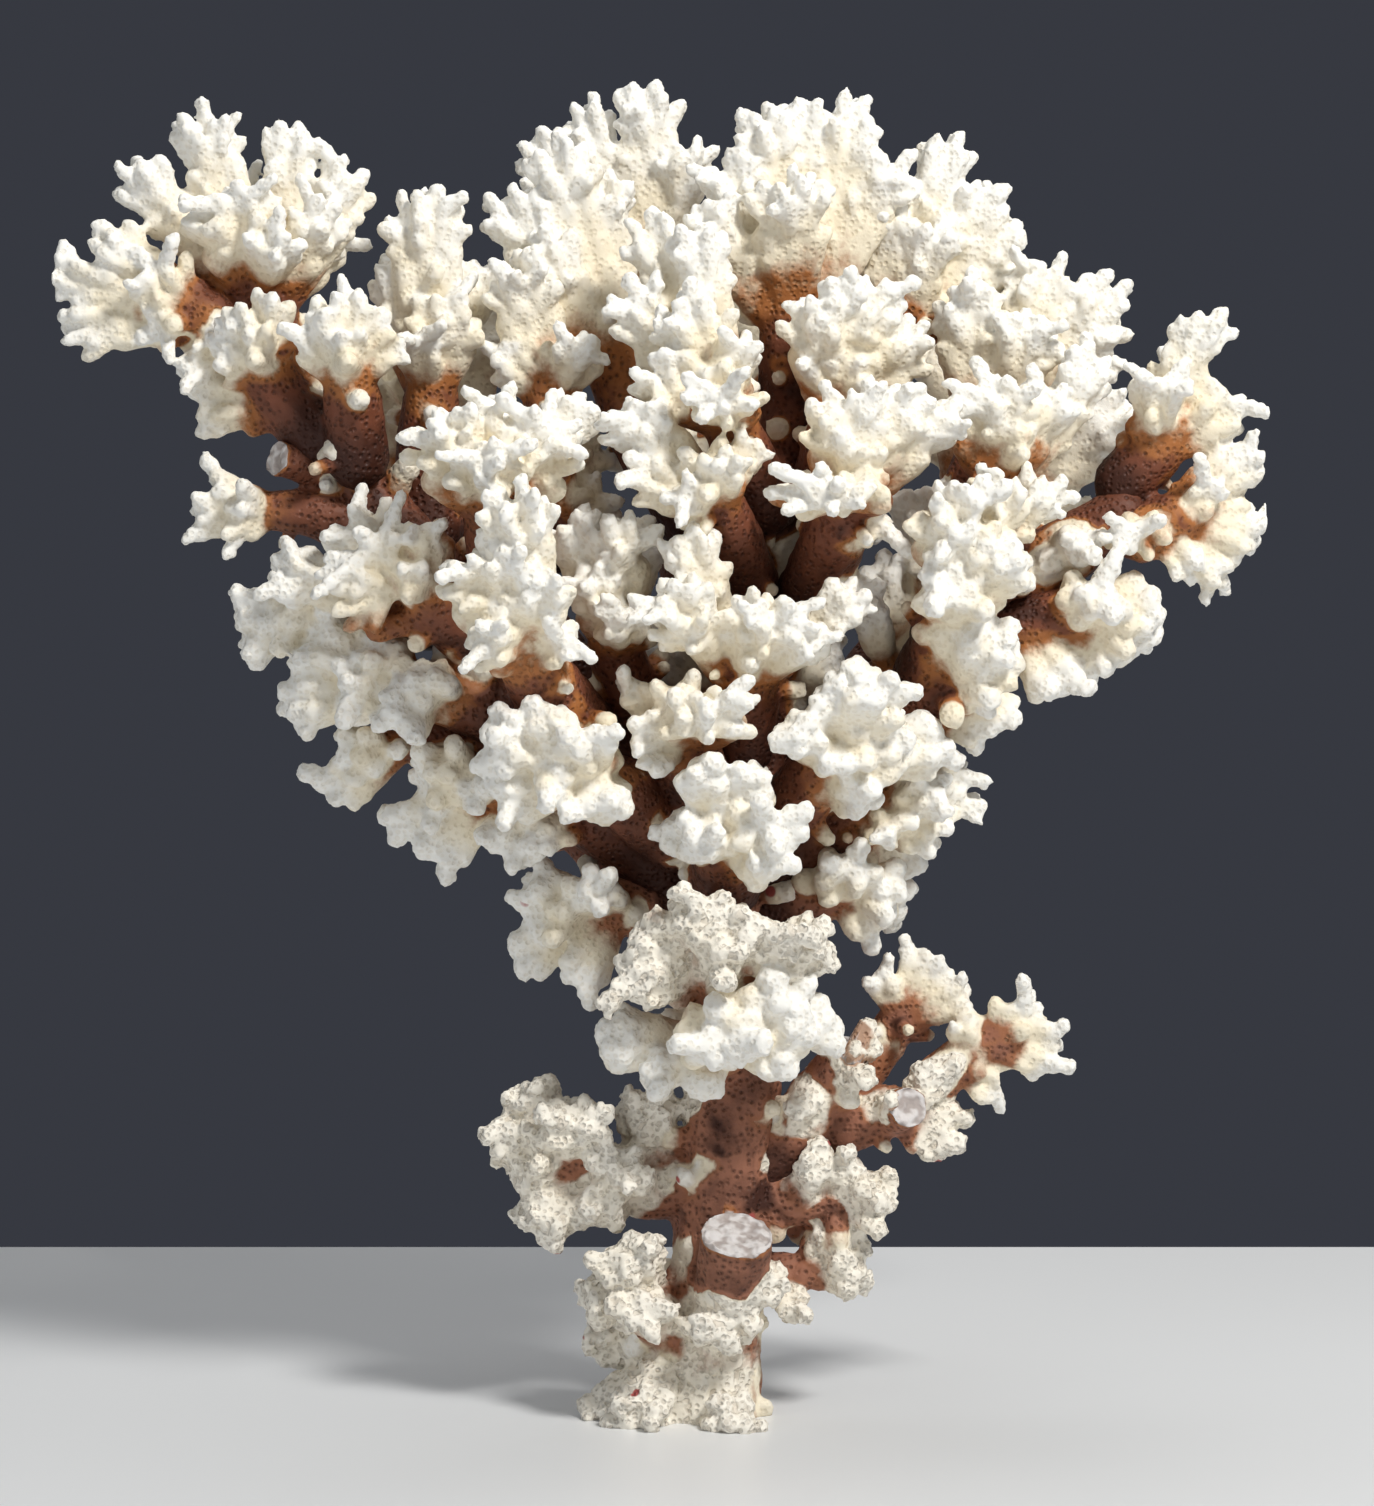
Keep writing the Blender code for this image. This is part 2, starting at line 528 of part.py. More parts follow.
def fused(name, collection):
    """One limb: its pieces fused by a voxel remesh, with the sealed pockets between fingers closed."""
    raw = bmesh.new()
    for piece in limb_pieces(name):
        add_taper(raw, *piece)
    for foot, face, radius in STUBS.get(name, []):
        add_taper(raw, front_view(*foot), radius * MM, front_view(*face), radius * MM, round_end=False)
    mesh = bpy.data.meshes.new(name)
    raw.to_mesh(mesh)
    raw.free()
    limb = bpy.data.objects.new(name, mesh)
    collection.objects.link(limb)
    remesh = limb.modifiers.new("fuse", "REMESH")
    remesh.mode = "VOXEL"
    remesh.voxel_size = FUSE_STEP * MM
    ease = limb.modifiers.new("ease", "SMOOTH")
    ease.factor = EASE_FACTOR
    ease.iterations = EASE_ROUNDS
    settle(limb)
    keep_largest_body(limb)
    return limb


def bodies_of(mesh):
    """A bmesh's separate closed bodies, each as its list of vertices."""
    unseen = set(mesh.verts)
    bodies = []
    while unseen:
        body = []
        edge = [next(v for v in mesh.verts if v in unseen)]
        unseen.discard(edge[0])
        while edge:
            vertex = edge.pop()
            body.append(vertex)
            for link in vertex.link_edges:
                other = link.other_vert(vertex)
                if other in unseen:
                    unseen.discard(other)
                    edge.append(other)
        bodies.append(body)
    return bodies


def keep_largest_body(thing, merge_flat=False):
    """Drops crumbs that a cut leaves loose, and sealed pockets. Merges the faces that a cut split."""
    mesh = bmesh.new()
    mesh.from_mesh(thing.data)
    bodies = sorted(bodies_of(mesh), key=len)
    for body in bodies[:-1]:
        bmesh.ops.delete(mesh, geom=body, context="VERTS")
    bmesh.ops.dissolve_degenerate(mesh, dist=CRUMB * MM, edges=mesh.edges)
    if merge_flat:
        bmesh.ops.dissolve_limit(mesh, angle_limit=FLAT_ANGLE, verts=mesh.verts, edges=mesh.edges)
    bmesh.ops.triangulate(mesh, faces=mesh.faces)
    mesh.to_mesh(thing.data)
    mesh.free()


def thin_out(limb, share):
    """Reduces a limb to that share of its triangles."""
    thin = limb.modifiers.new("thin out", "DECIMATE")
    thin.ratio = share
    thin.use_collapse_triangulate = True
    settle(limb)


def swollen(limb, collection):
    """A wire copy of a limb, larger by the fork gap all round, that parts its neighbours from it."""
    cutter = bpy.data.objects.new(limb.name + "_cutter", limb.data.copy())
    collection.objects.link(cutter)
    cutter.hide_render = True
    cutter.display_type = "WIRE"
    grow = cutter.modifiers.new("gap", "DISPLACE")
    grow.direction = "NORMAL"
    grow.mid_level = 0
    grow.strength = FORK_GAP * MM
    settle(cutter)
    return cutter


def box_of(thing):
    """The lowest and highest corners of a mesh object."""
    places = [v.co for v in thing.data.vertices]
    low = Vector([min(p[i] for p in places) for i in range(3)])
    high = Vector([max(p[i] for p in places) for i in range(3)])
    return low, high


def boxes_meet(one, other):
    return all(one[0][i] <= other[1][i] and other[0][i] <= one[1][i] for i in range(3))


def part_from(limb, cutters):
    """Cuts a limb clear of every earlier neighbour that it reaches.

    Swollen neighbours can cross themselves in a deep crease, where only MANIFOLD cuts cleanly. The
    neighbour's own shape, which follows its swollen copy in the list, clears what a crease left.
    """
    place = box_of(limb)
    for cutter in cutters:
        if boxes_meet(place, box_of(cutter)):
            cut = limb.modifiers.new("clear of " + cutter.name, "BOOLEAN")
            cut.operation = "DIFFERENCE"
            cut.solver = "MANIFOLD"
            cut.object = cutter
    settle(limb)
    keep_largest_body(limb, merge_flat=True)


def new_collection(name):
    collection = bpy.data.collections.new(name)
    bpy.context.scene.collection.children.link(collection)
    return collection


def add_ground_cutter(collection):
    """Everything under the cut that the foot stands on."""
    mesh = bmesh.new()
    side = GROUND_SIDE * MM
    bmesh.ops.create_cube(mesh, size=side, matrix=Matrix.Translation((0, 0, -side / 2)))
    data = bpy.data.meshes.new("ground_cutter")
    mesh.to_mesh(data)
    mesh.free()
    ground = bpy.data.objects.new("ground_cutter", data)
    collection.objects.link(ground)
    ground.hide_render = True
    ground.display_type = "WIRE"
    return ground


def finish(limb):
    """Gives a limb its own plain material, and shades it smooth."""
    colour, roughness = FINISHES["stem" if limb.name in STEMS else LIMBS[limb.name][0]]
    material = bpy.data.materials.new(limb.name)
    material.use_nodes = True
    shader = material.node_tree.nodes["Principled BSDF"]
    shader.inputs["Base Color"].default_value = (*colour, 1)
    shader.inputs["Roughness"].default_value = roughness
    shader.inputs["Metallic"].default_value = 0
    limb.data.materials.clear()
    limb.data.materials.append(material)
    limb.data.shade_smooth()


def main():
    for thing in list(bpy.data.objects):
        bpy.data.objects.remove(thing)
    corals = new_collection("raspberry coral")
    cutters_collection = new_collection("cutters")
    limbs = [fused(name, corals) for name in LIMBS]
    faces = sum(len(limb.data.polygons) for limb in limbs)
    for limb in limbs:
        thin_out(limb, TRIANGLE_GOAL / faces)
    cutters = [add_ground_cutter(cutters_collection)]
    for limb in limbs:
        part_from(limb, cutters)
        cutters += [swollen(limb, cutters_collection), limb]
        finish(limb)


if __name__ == "__main__":
    main()
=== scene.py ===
"""Raspberry coral, dressed: the fine surface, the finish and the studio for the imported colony.

A colony forks from its trunk into stems, limbs and lobes. Each operator below grows a group of
neighbouring limbs: a finger is modelled once, copied along every lobe, fused, eased and worn. The
colour follows three values kept on the mesh: how far out a place grew, how worn it is, and where
a branch broke off.
"""

import math
import random

import bpy
import numpy as np
from mathutils import Matrix, Vector, kdtree, noise


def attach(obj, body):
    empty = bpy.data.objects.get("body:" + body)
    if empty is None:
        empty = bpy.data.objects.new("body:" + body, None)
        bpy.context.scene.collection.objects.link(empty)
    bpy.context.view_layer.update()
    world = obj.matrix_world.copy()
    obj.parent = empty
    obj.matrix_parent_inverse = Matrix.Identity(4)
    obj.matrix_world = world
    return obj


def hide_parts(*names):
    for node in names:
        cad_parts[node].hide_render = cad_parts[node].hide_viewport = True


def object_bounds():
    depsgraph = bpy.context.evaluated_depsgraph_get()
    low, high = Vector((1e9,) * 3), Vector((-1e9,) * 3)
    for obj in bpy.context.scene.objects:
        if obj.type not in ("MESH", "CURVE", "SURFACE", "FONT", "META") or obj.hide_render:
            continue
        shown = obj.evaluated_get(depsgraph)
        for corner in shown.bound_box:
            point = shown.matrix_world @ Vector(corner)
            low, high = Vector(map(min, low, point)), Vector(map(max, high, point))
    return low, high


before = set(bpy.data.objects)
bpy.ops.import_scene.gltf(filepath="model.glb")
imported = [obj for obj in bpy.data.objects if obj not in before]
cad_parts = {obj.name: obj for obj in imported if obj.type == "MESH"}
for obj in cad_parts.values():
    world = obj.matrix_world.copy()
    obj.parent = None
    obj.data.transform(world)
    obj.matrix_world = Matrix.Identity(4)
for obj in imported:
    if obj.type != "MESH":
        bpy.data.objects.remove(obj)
CAD_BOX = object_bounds()

bl_info = {
    "name": "Raspberry Coral",
    "version": (1, 0, 0),
    "blender": (4, 5, 0),
    "location": "View3D > Sidebar > Coral",
    "description": "Grows the fine surface of a dried cauliflower-coral colony and its studio",
    "category": "Add Mesh",
}

MM = 0.001

# How lobes grow, in millimetres. A share is of the lobe's own length from its root to its tip.
ROOT_RADIUS = 3.3
FINGER_SHARE = 0.8
LONGEST_FINGER = 12.5
FINGER_SPREAD = 0.42
BODY_TOP = 0.85
BODY_THICKNESS = 0.23
WART_AREA = 95.0
TIP_REACH = 0.2
LEAN = 0.45
GOLDEN_ANGLE = math.radians(137.5)

# Fingers stand inside a lobe's listed width and thickness by this share of their tip's radius.
EDGE_SHARE = 0.85

# The pieces stay inside the CAD model's box, drawn in softly over this distance in metres.
BOX_EASE = 2.0 * MM

# The share of its triangles that a piece keeps when it is thinned out, and the volume in cubic
# metres under which a loose crumb is dropped.
KEPT_SHARE = 0.6
LEAST_CRUMB = 20e-9

# How far apart the surface's lumps, warts, crust knobs and crust grains stand, and the crags of a
# broken face with their height, in metres.
LUMP_SPACING = 3.1 * MM
WART_SPACING = 1.9 * MM
CRUST_KNOB_SPACING = 3.6 * MM
CRUST_GRAIN_SPACING = 1.1 * MM
CRAG_SPACING = 2.2 * MM
CRAG_HEIGHT = 0.8 * MM

# A break reaches this far round its stub's end, as a share of the stub's radius.
BREAK_REACH = 1.15

# A habit is how the ends of a limb grew: the finger's radius at its neck and at its tip, how far
# the finger tips stagger, how far the lobe's edge droops behind its crown, how far apart the
# fingers stand, and how worn it is.
HABITS = {
    "ragged": (1.95, 1.6, 4.0, 0.34, 6.0, 0.0),
    "blunt": (2.7, 2.25, 2.6, 0.28, 6.6, 0.06),
    "crusted": (2.6, 2.1, 2.4, 0.24, 5.8, 1.0),
    "plated": (3.0, 2.7, 1.4, 0.24, 6.6, 0.04),
}

# How far out a stem's two ends grew, on the scale where a lobe's root is 0 and its crown is 1, and
# the share of its radius that a stem keeps at its end.
END_TAPER = 0.8
END_FINGERS = 5
END_OUTWARD = 1.0
# Levels under -0.25 take the deep stem colour, so the inner ends of the stems, at the forks, carry painted
# shade.
STEM_GROWTH = {
    "any": (-0.75, 0.12),
    "trunk": (-0.6, -0.38),
    "left_stem": (-0.75, -0.38),
    "centre_stem": (-0.75, -0.38),
    "right_stem": (-0.75, -0.38),
    "antler_left": (-0.1, 0.45),
    "antler_right": (-0.1, 0.45),
    "right_arm_tip": (-0.4, 0.1),
    "front_shelf": (-0.3, 0.5),
    "front_shelf_low": (-0.3, 0.4),
    "low_left_arm": (-0.4, 0.2),
    "left_crown_outer": (-0.3, 0.1),
}

# Each material slot's finish: how much more worn than its mesh it looks, its roughness, how dusty
# its browns are, and whether it carries red specks.
FINISHES = {
    "brown_stem": (0.0, 0.66, 1.0, True),
    "white_tips": (0.0, 0.58, 0.0, False),
    "cream_lobes": (0.02, 0.55, 0.15, False),
    "worn_crust": (0.1, 0.72, 0.8, True),
}

# Pores: how deep they are in metres, how strongly their painted shade shows on stems, on sound
# and on worn skeleton, and its colours on the last two. Then the red specks and the bare break.
# How many pores, grit grains and holes there are is a number a metre.
PORE_DEPTH = 0.4 * MM
PORES_PER_METRE = 790.0
GRIT_PER_METRE = 900.0
HOLES_PER_METRE = 430.0
STREAKS_PER_METRE = 95.0
HOLE_DEPTH = 0.8
STEM_PIT = 0.75
PALE_PIT = 0.16
WORN_PIT = 0.3
PALE_PIT_PAINTED_SHADE = (0.60, 0.47, 0.27)
WORN_PIT_PAINTED_SHADE = (0.33, 0.235, 0.14)
SPECKS_PER_METRE = 55.0
SPECK_COLOUR = (0.42, 0.09, 0.08)
BREAK_COLOUR = (0.66, 0.63, 0.62)
BREAK_SHADE = (0.40, 0.35, 0.33)

# How much of a dusty stem's own colour is in its amber.
DUSTY_AMBER = 0.75

# The studio, in metres: the table's size and its far edge, the soft light all round, and the
# lights as (name, place, target, side, watts, colour).
TABLE_SIZE = (3.2, 1.25, 0.03)
TABLE_BACK = 0.165
AMBIENT_COLOUR = (0.93, 0.96, 1.0)
AMBIENT_STRENGTH = 0.17
LIGHTS = (
    ("key_light", (0.5, -0.62, 0.95), (0.0, 0.0, 0.14), 0.22, 12.3, (1.0, 0.985, 0.955)),
    ("fill_light", (-0.85, -0.9, 0.45), (0.0, 0.0, 0.13), 0.8, 2.0, (0.94, 0.97, 1.0)),
    ("top_light", (-0.1, 0.25, 1.15), (0.0, 0.0, 0.2), 0.6, 3.0, (1.0, 1.0, 1.0)),
)

# Places below are millimetres in the front view: x to the right of the trunk, z above the cut.
# Depth is negative towards the viewer. The viewer stands this far off and looks down this much,
# so a nearer point is drawn in towards the middle of the view, and a little up.
VIEW_DISTANCE = 1000.0
VIEW_DOWN = math.radians(6.0)
VIEW_MIDDLE = (-6.6, 134.4)

# Each limb: its habit, its stem from the fork outwards as (x, depth, z, radius), and its lobes as
# (x, depth, z, width, thickness), where the place is the middle of the lobe's outer edge.
LIMBS = {
    "trunk": (
        "crusted",
        [(-4, 1, -4, 13), (-3, 1, 12, 11.5), (0, 0, 32, 9.8), (2, 0, 50, 9.6), (3, 1, 72, 10),
         (2, 2, 92, 11), (0, 2, 110, 12)],
        [(4, -17, -1, 15, 12), (2, -17, 19, 17, 13), (12, -13, 28, 10, 9), (-9, 19, -1, 18, 13),
         (9, 17, -1, 16, 13), (-2, 19, 24, 15, 12)],
    ),
    "left_stem": (
        "blunt",
        [(-8, 4, 110, 9), (-26, 2, 132, 8.5), (-44, 0, 153, 8), (-62, 2, 176, 7.5), (-78, 3, 193, 7)],
        [(-75, -9, 197, 11, 9), (-66, 12, 168, 12, 10)],
    ),
    "centre_stem": (
        "blunt",
        [(2, 6, 110, 10), (6, 7, 136, 9), (10, 7, 162, 8.5), (13, 7, 188, 7.5), (14, 7, 210, 6.5)],
        [(20, -2, 172, 9, 8), (8, 18, 166, 12, 10), (30, 16, 181, 14, 12), (-10, 15, 190, 14, 12),
         (24, 13, 152, 14, 11), (-13, 14, 156, 14, 11)],
    ),
    "right_stem": (
        "blunt",
        [(8, 4, 112, 9), (24, 3, 134, 8.5), (42, 2, 154, 8), (62, 2, 170, 7.5), (80, 2, 182, 7)],
        [(28, -10, 166, 11, 9), (58, 14, 168, 12, 10), (39, 3, 187, 17, 12), (31, 5, 173, 14, 12),
         (72, -9, 176, 11, 9)],
    ),
    "foot_left_arm": (
        "crusted",
        [(-6, 0, 18, 7), (-14, -5, 22, 6.5), (-18, -7, 26, 6)],
        [(-18, -13, 35, 15, 13), (-28, -8, 23, 14, 11), (-15, -17, 20, 14, 12), (-17, -13, -2, 15, 13),
         (-23, -4, -1, 12, 11), (-25, 4, 14, 13, 11)],
    ),
    "foot_right_arm": (
        "crusted",
        [(6, 0, 28, 5.5), (14, -1, 29, 4.5), (22, -2, 30, 3.8)],
        [(22, -4, 37, 7, 7), (28, -3, 37, 8, 7), (29, -2, 27, 8, 7), (16, -7, 20, 10, 9)],
    ),
    "low_left_arm": (
        "crusted",
        [(-6, 2, 48, 7.5), (-15, 2, 47, 7), (-25, 0, 50, 6.5), (-33, -3, 55, 6)],
        [(-44, -6, 63, 22, 16), (-29, -12, 62, 18, 14), (-15, -2, 66, 15, 11), (-20, -11, 51, 16, 12),
         (-38, -6, 38, 17, 12), (-25, -9, 41, 14, 12), (-43, -4, 52, 14, 12), (-30, 12, 56, 16, 12)],
    ),
    "low_right_spur": (
        "crusted",
        [(8, 0, 44, 6.5), (18, -1, 45, 6), (26, -2, 45, 5)],
        [(31, -4, 46, 10, 8), (20, -10, 53, 9, 8), (27, -7, 52, 10, 8), (28, 8, 46, 12, 10)],
    ),
    "right_arm": (
        "crusted",
        [(8, 2, 52, 8), (16, 0, 58, 7), (21, -2, 66, 6.5), (24, -3, 71, 6.5)],
        [(17, -10, 64, 8, 7)],
    ),
    "right_arm_tip": (
        "crusted",
        [(24, 0, 59, 6), (33, 0, 62, 5.5), (41, 0, 62, 4.5)],
        [(37, -9, 63, 10, 9), (46, 0, 54, 10, 7), (43, -3, 70, 9, 8)],
    ),
    "antler_right": (
        "ragged",
        [(43, 2, 68, 5), (50, 2, 74, 4.6), (59, 0, 78, 4)],
        [(63, -2, 84, 14, 10), (69, 0, 77, 11, 8), (67, 0, 71, 9, 7), (57, 0, 65, 14, 8),
         (49, -2, 82, 10, 8)],
    ),
    "antler_left": (
        "ragged",
        [(27, 6, 68, 5), (33, 7, 76, 4.6), (38, 6, 85, 4)],
        [(40, 6, 97, 9, 8), (46, 6, 92, 8, 7), (51, 4, 87, 12, 8), (31, 4, 90, 11, 8)],
    ),
    "front_shelf": (
        "crusted",
        [(0, -8, 88, 8), (0, -17, 92, 8), (0, -23, 94, 7)],
        [(-19, -26, 93, 24, 11), (4, -32, 101, 36, 12), (22, -27, 97, 15, 9)],
    ),
    "front_shelf_low": (
        "plated",
        [(0, -8, 76, 7), (1, -17, 79, 7), (2, -21, 80, 6)],
        [(15, -28, 84, 20, 12), (23, -21, 80, 13, 10), (0, -30, 75, 24, 14), (14, -26, 72, 13, 10),
         (-23, -15, 77, 15, 10), (-14, -20, 69, 11, 9), (-4, -20, 67, 10, 8)],
    ),
    "mid_left": (
        "blunt",
        [(-8, 2, 102, 7), (-18, 1, 104, 6.5), (-28, -1, 104, 5.5)],
        [(-37, -3, 109, 12, 9), (-25, -14, 107, 14, 10), (-38, -2, 101, 12, 9), (-41, 0, 93, 13, 8),
         (-29, -5, 88, 13, 9), (-32, 10, 98, 14, 10)],
    ),
    "mid_right": (
        "blunt",
        [(8, 2, 102, 7), (20, 0, 106, 6), (28, -2, 107, 5)],
        [(35, -4, 105, 12, 8), (32, -3, 98, 11, 8), (26, -13, 112, 15, 12), (36, 8, 104, 14, 10)],
    ),
    "centre_low": (
        "blunt",
        [(1, -8, 108, 7.5), (2, -16, 115, 7), (3, -22, 120, 6)],
        [(-4, -31, 117, 15, 12), (-12, -25, 119, 10, 9), (12, -32, 121, 17, 13), (10, -30, 112, 15, 9),
         (-3, -33, 132, 13, 9), (7, -32, 131, 11, 8)],
    ),
    "right_low": (
        "ragged",
        [(10, 2, 112, 8), (24, -2, 120, 7), (38, -5, 126, 6)],
        [(43, -14, 128, 15, 10), (53, -6, 125, 10, 8), (44, -8, 115, 14, 9), (36, -16, 118, 13, 10),
         (49, -5, 132, 12, 8), (42, 10, 126, 16, 10)],
    ),
    "right_low_front": (
        "blunt",
        [(12, -6, 122, 7), (19, -14, 129, 6.5), (25, -20, 136, 6)],
        [(36, -26, 139, 22, 13), (27, -29, 132, 15, 10), (16, -32, 140, 13, 12), (21, -30, 147, 10, 9),
         (32, -33, 150, 20, 13), (45, -18, 137, 15, 10), (30, -24, 125, 14, 11)],
    ),
    "left_low": (
        "blunt",
        [(-10, 2, 112, 8), (-26, -3, 122, 7), (-42, -5, 128, 6.5), (-51, -6, 130, 6)],
        [(-59, -8, 126, 20, 13), (-66, -4, 120, 11, 8), (-58, -4, 114, 13, 9), (-50, -16, 127, 13, 12),
         (-44, -10, 115, 14, 10), (-37, -13, 115, 11, 9), (-54, 10, 126, 16, 10)],
    ),
    "left_low_outer": (
        "blunt",
        [(-47, -1, 136, 6), (-58, -1, 138, 5), (-68, -1, 136, 4.5)],
        [(-79, -2, 127, 14, 9), (-72, -5, 132, 12, 9)],
    ),
    "centre_low_left": (
        "blunt",
        [(-9, -4, 118, 8), (-20, -14, 127, 7), (-31, -23, 133, 6.5)],
        [(-46, -30, 137, 17, 13), (-28, -36, 138, 19, 11), (-37, -34, 143, 10, 9), (-34, -34, 128, 11, 10),
         (-24, -32, 123, 17, 12), (-44, -26, 124, 12, 10)],
    ),
    "centre": (
        "ragged",
        [(-3, -6, 124, 8), (-6, -14, 134, 7), (-8, -22, 142, 6)],
        [(-18, -30, 139, 11, 10), (-15, -28, 131, 10, 9), (0, -40, 145, 24, 15), (-21, -22, 149, 10, 9)],
    ),
    "left_mid": (
        "blunt",
        [(-40, -6, 141, 7), (-54, -8, 146, 6.5), (-67, -8, 148, 6)],
        [(-82, -8, 158, 19, 12), (-87, -6, 145, 18, 12), (-75, -15, 146, 15, 12), (-60, -20, 149, 16, 11),
         (-65, -20, 141, 15, 10), (-70, -12, 157, 14, 10), (-78, 8, 148, 16, 11)],
    ),
    "left_outer": (
        "blunt",
        [(-58, -1, 160, 5.5), (-70, -2, 163, 5), (-82, -3, 162, 4.5)],
        [(-96, -4, 159, 18, 9), (-88, -5, 165, 10, 8)],
    ),
    "left_upper_outer": (
        "ragged",
        [(-70, 0, 178, 5.5), (-80, -1, 182, 5), (-92, -1, 183, 4.5)],
        [(-107, -2, 182, 12, 8), (-102, 0, 189, 9, 7), (-98, -3, 178, 11, 8)],
    ),
    "left_front": (
        "ragged",
        [(-48, -8, 156, 6.5), (-56, -14, 163, 6), (-60, -18, 168, 6)],
        [(-74, -24, 176, 34, 11), (-91, -12, 172, 14, 10), (-76, -15, 183, 20, 9), (-60, -24, 181, 12, 9)],
    ),
    "centre_front": (
        "ragged",
        [(-24, -10, 134, 8), (-34, -22, 146, 7.5), (-42, -32, 160, 7)],
        [(-48, -44, 177, 28, 16), (-41, -46, 188, 18, 13), (-49, -45, 158, 19, 11), (-30, -37, 158, 17, 12),
         (-34, -44, 170, 14, 11)],
    ),
    "centre_upper": (
        "ragged",
        [(-42, -10, 164, 7.5), (-44, -20, 178, 7), (-45, -27, 188, 7)],
        [(-56, -34, 204, 27, 13), (-33, -34, 202, 25, 13), (-26, -22, 207, 13, 10), (-47, -40, 196, 22, 13),
         (-44, -26, 207, 18, 10)],
    ),
    "left_fan_outer": (
        "ragged",
        [(-80, 0, 197, 6.5), (-88, -1, 206, 6), (-91, -4, 213, 5.5)],
        [(-106, 1, 204, 17, 9), (-93, -11, 227, 17, 9), (-101, -7, 215, 13, 9)],
    ),
    "left_fan_inner": (
        "ragged",
        [(-72, -4, 193, 6.5), (-73, -8, 204, 6), (-74, -11, 212, 6)],
        [(-74, -15, 227, 22, 11), (-83, -13, 220, 12, 9), (-64, -12, 217, 12, 9)],
    ),
    "left_crown": (
        "ragged",
        [(-84, 6, 204, 7), (-90, 6, 220, 6.5), (-92, 5, 232, 6)],
        [(-104, 6, 262, 17, 11), (-118, 4, 252, 14, 10), (-98, -6, 247, 24, 13), (-84, 8, 260, 14, 9),
         (-71, 8, 252, 17, 11), (-77, -1, 244, 17, 12), (-88, -9, 237, 13, 10), (-96, 18, 250, 18, 12),
         (-74, 18, 240, 16, 11)],
    ),
    "left_crown_outer": (
        "ragged",
        [(-92, 4, 214, 6.5), (-102, 2, 221, 6), (-110, 1, 225, 5.5)],
        [(-125, 0, 238, 15, 10), (-133, 0, 231, 12, 8), (-132, 1, 219, 16, 8), (-113, -5, 231, 18, 10),
         (-112, -3, 217, 15, 10), (-106, -2, 210, 14, 9)],
    ),
    "upper_left": (
        "ragged",
        [(-58, 6, 178, 7), (-58, 8, 196, 6.5), (-57, 8, 212, 6)],
        [(-58, 6, 247, 20, 12), (-53, 1, 227, 19, 12), (-66, 10, 233, 13, 10), (-45, 14, 233, 13, 10),
         (-60, -2, 218, 12, 10), (-64, 20, 226, 16, 11)],
    ),
    "upper_middle": (
        "ragged",
        [(-34, 4, 176, 6.5), (-34, 5, 194, 6), (-34, 4, 210, 6)],
        [(-40, 4, 234, 19, 13), (-27, -5, 217, 15, 9), (-44, 2, 214, 11, 9), (-22, 13, 196, 14, 11),
         (-21, 6, 187, 14, 12)],
    ),
    "top_left": (
        "ragged",
        [(-4, 9, 178, 7), (-16, 11, 198, 6.5), (-24, 12, 216, 6)],
        [(-44, 11, 247, 18, 10), (-34, 10, 256, 18, 12), (-24, 12, 251, 14, 10), (-37, 4, 238, 16, 10)],
    ),
    "top_left_back": (
        "ragged",
        [(-4, 20, 184, 6.5), (-10, 22, 206, 6.5), (-14, 23, 226, 6)],
        [(-27, 25, 264, 16, 12), (-15, 24, 268, 17, 12), (-6, 22, 256, 14, 11), (-39, 26, 258, 12, 9),
         (-16, 36, 252, 22, 12)],
    ),
    "top_centre": (
        "ragged",
        [(14, 7, 206, 6.5), (14, 6, 216, 6.5), (14, 5, 228, 6.5)],
        [(0, 4, 253, 17, 10), (9, 5, 264, 15, 11), (17, 8, 265, 13, 11), (27, 8, 265, 17, 12),
         (36, 6, 254, 15, 9), (-5, -3, 243, 17, 9), (14, -6, 250, 20, 13), (18, 18, 256, 22, 12)],
    ),
    "top_right": (
        "ragged",
        [(20, 10, 188, 7), (30, 12, 206, 6.5), (38, 12, 222, 6)],
        [(46, 12, 258, 15, 10), (54, 12, 249, 13, 10), (59, 12, 242, 13, 9), (60, 12, 234, 12, 8),
         (34, 8, 244, 14, 9), (44, 4, 240, 14, 10), (50, 24, 246, 20, 12)],
    ),
    "centre_fan": (
        "ragged",
        [(9, -3, 184, 6.5), (4, -12, 195, 6), (-1, -18, 206, 6)],
        [(-16, -6, 242, 16, 9), (-20, -12, 227, 17, 9), (-8, -22, 227, 19, 13), (5, -24, 218, 12, 9),
         (0, -34, 206, 19, 13), (-17, -23, 213, 18, 10), (-6, -12, 240, 14, 9)],
    ),
    "centre_fan_low": (
        "ragged",
        [(6, -4, 168, 6), (2, -14, 178, 6), (-2, -22, 188, 6)],
        [(-20, -26, 204, 18, 10), (-20, -28, 192, 15, 9), (-9, -31, 185, 14, 9), (2, -35, 194, 13, 9),
         (7, -24, 198, 11, 9)],
    ),
    "right_centre": (
        "ragged",
        [(20, 0, 186, 6.5), (23, -4, 197, 6.5), (26, -7, 207, 6)],
        [(20, -15, 227, 22, 13), (31, -13, 229, 18, 11), (40, -8, 222, 18, 12), (18, -12, 213, 12, 9)],
    ),
    "right_centre_front": (
        "ragged",
        [(18, -4, 166, 7), (23, -14, 178, 6.5), (27, -22, 190, 6)],
        [(24, -28, 206, 20, 12), (36, -26, 208, 20, 13), (20, -37, 187, 28, 13), (46, -22, 205, 16, 11),
         (34, -18, 180, 12, 10)],
    ),
    "right_upper": (
        "ragged",
        [(44, 6, 166, 7), (50, 5, 186, 6.5), (56, 4, 204, 6)],
        [(48, -1, 229, 18, 12), (66, 7, 233, 18, 12), (62, -3, 222, 18, 12), (79, 8, 228, 18, 12),
         (56, 18, 230, 20, 12), (76, 20, 220, 20, 12)],
    ),
    "right_upper_front": (
        "ragged",
        [(50, -2, 172, 6), (54, -8, 184, 6), (57, -11, 194, 5.5)],
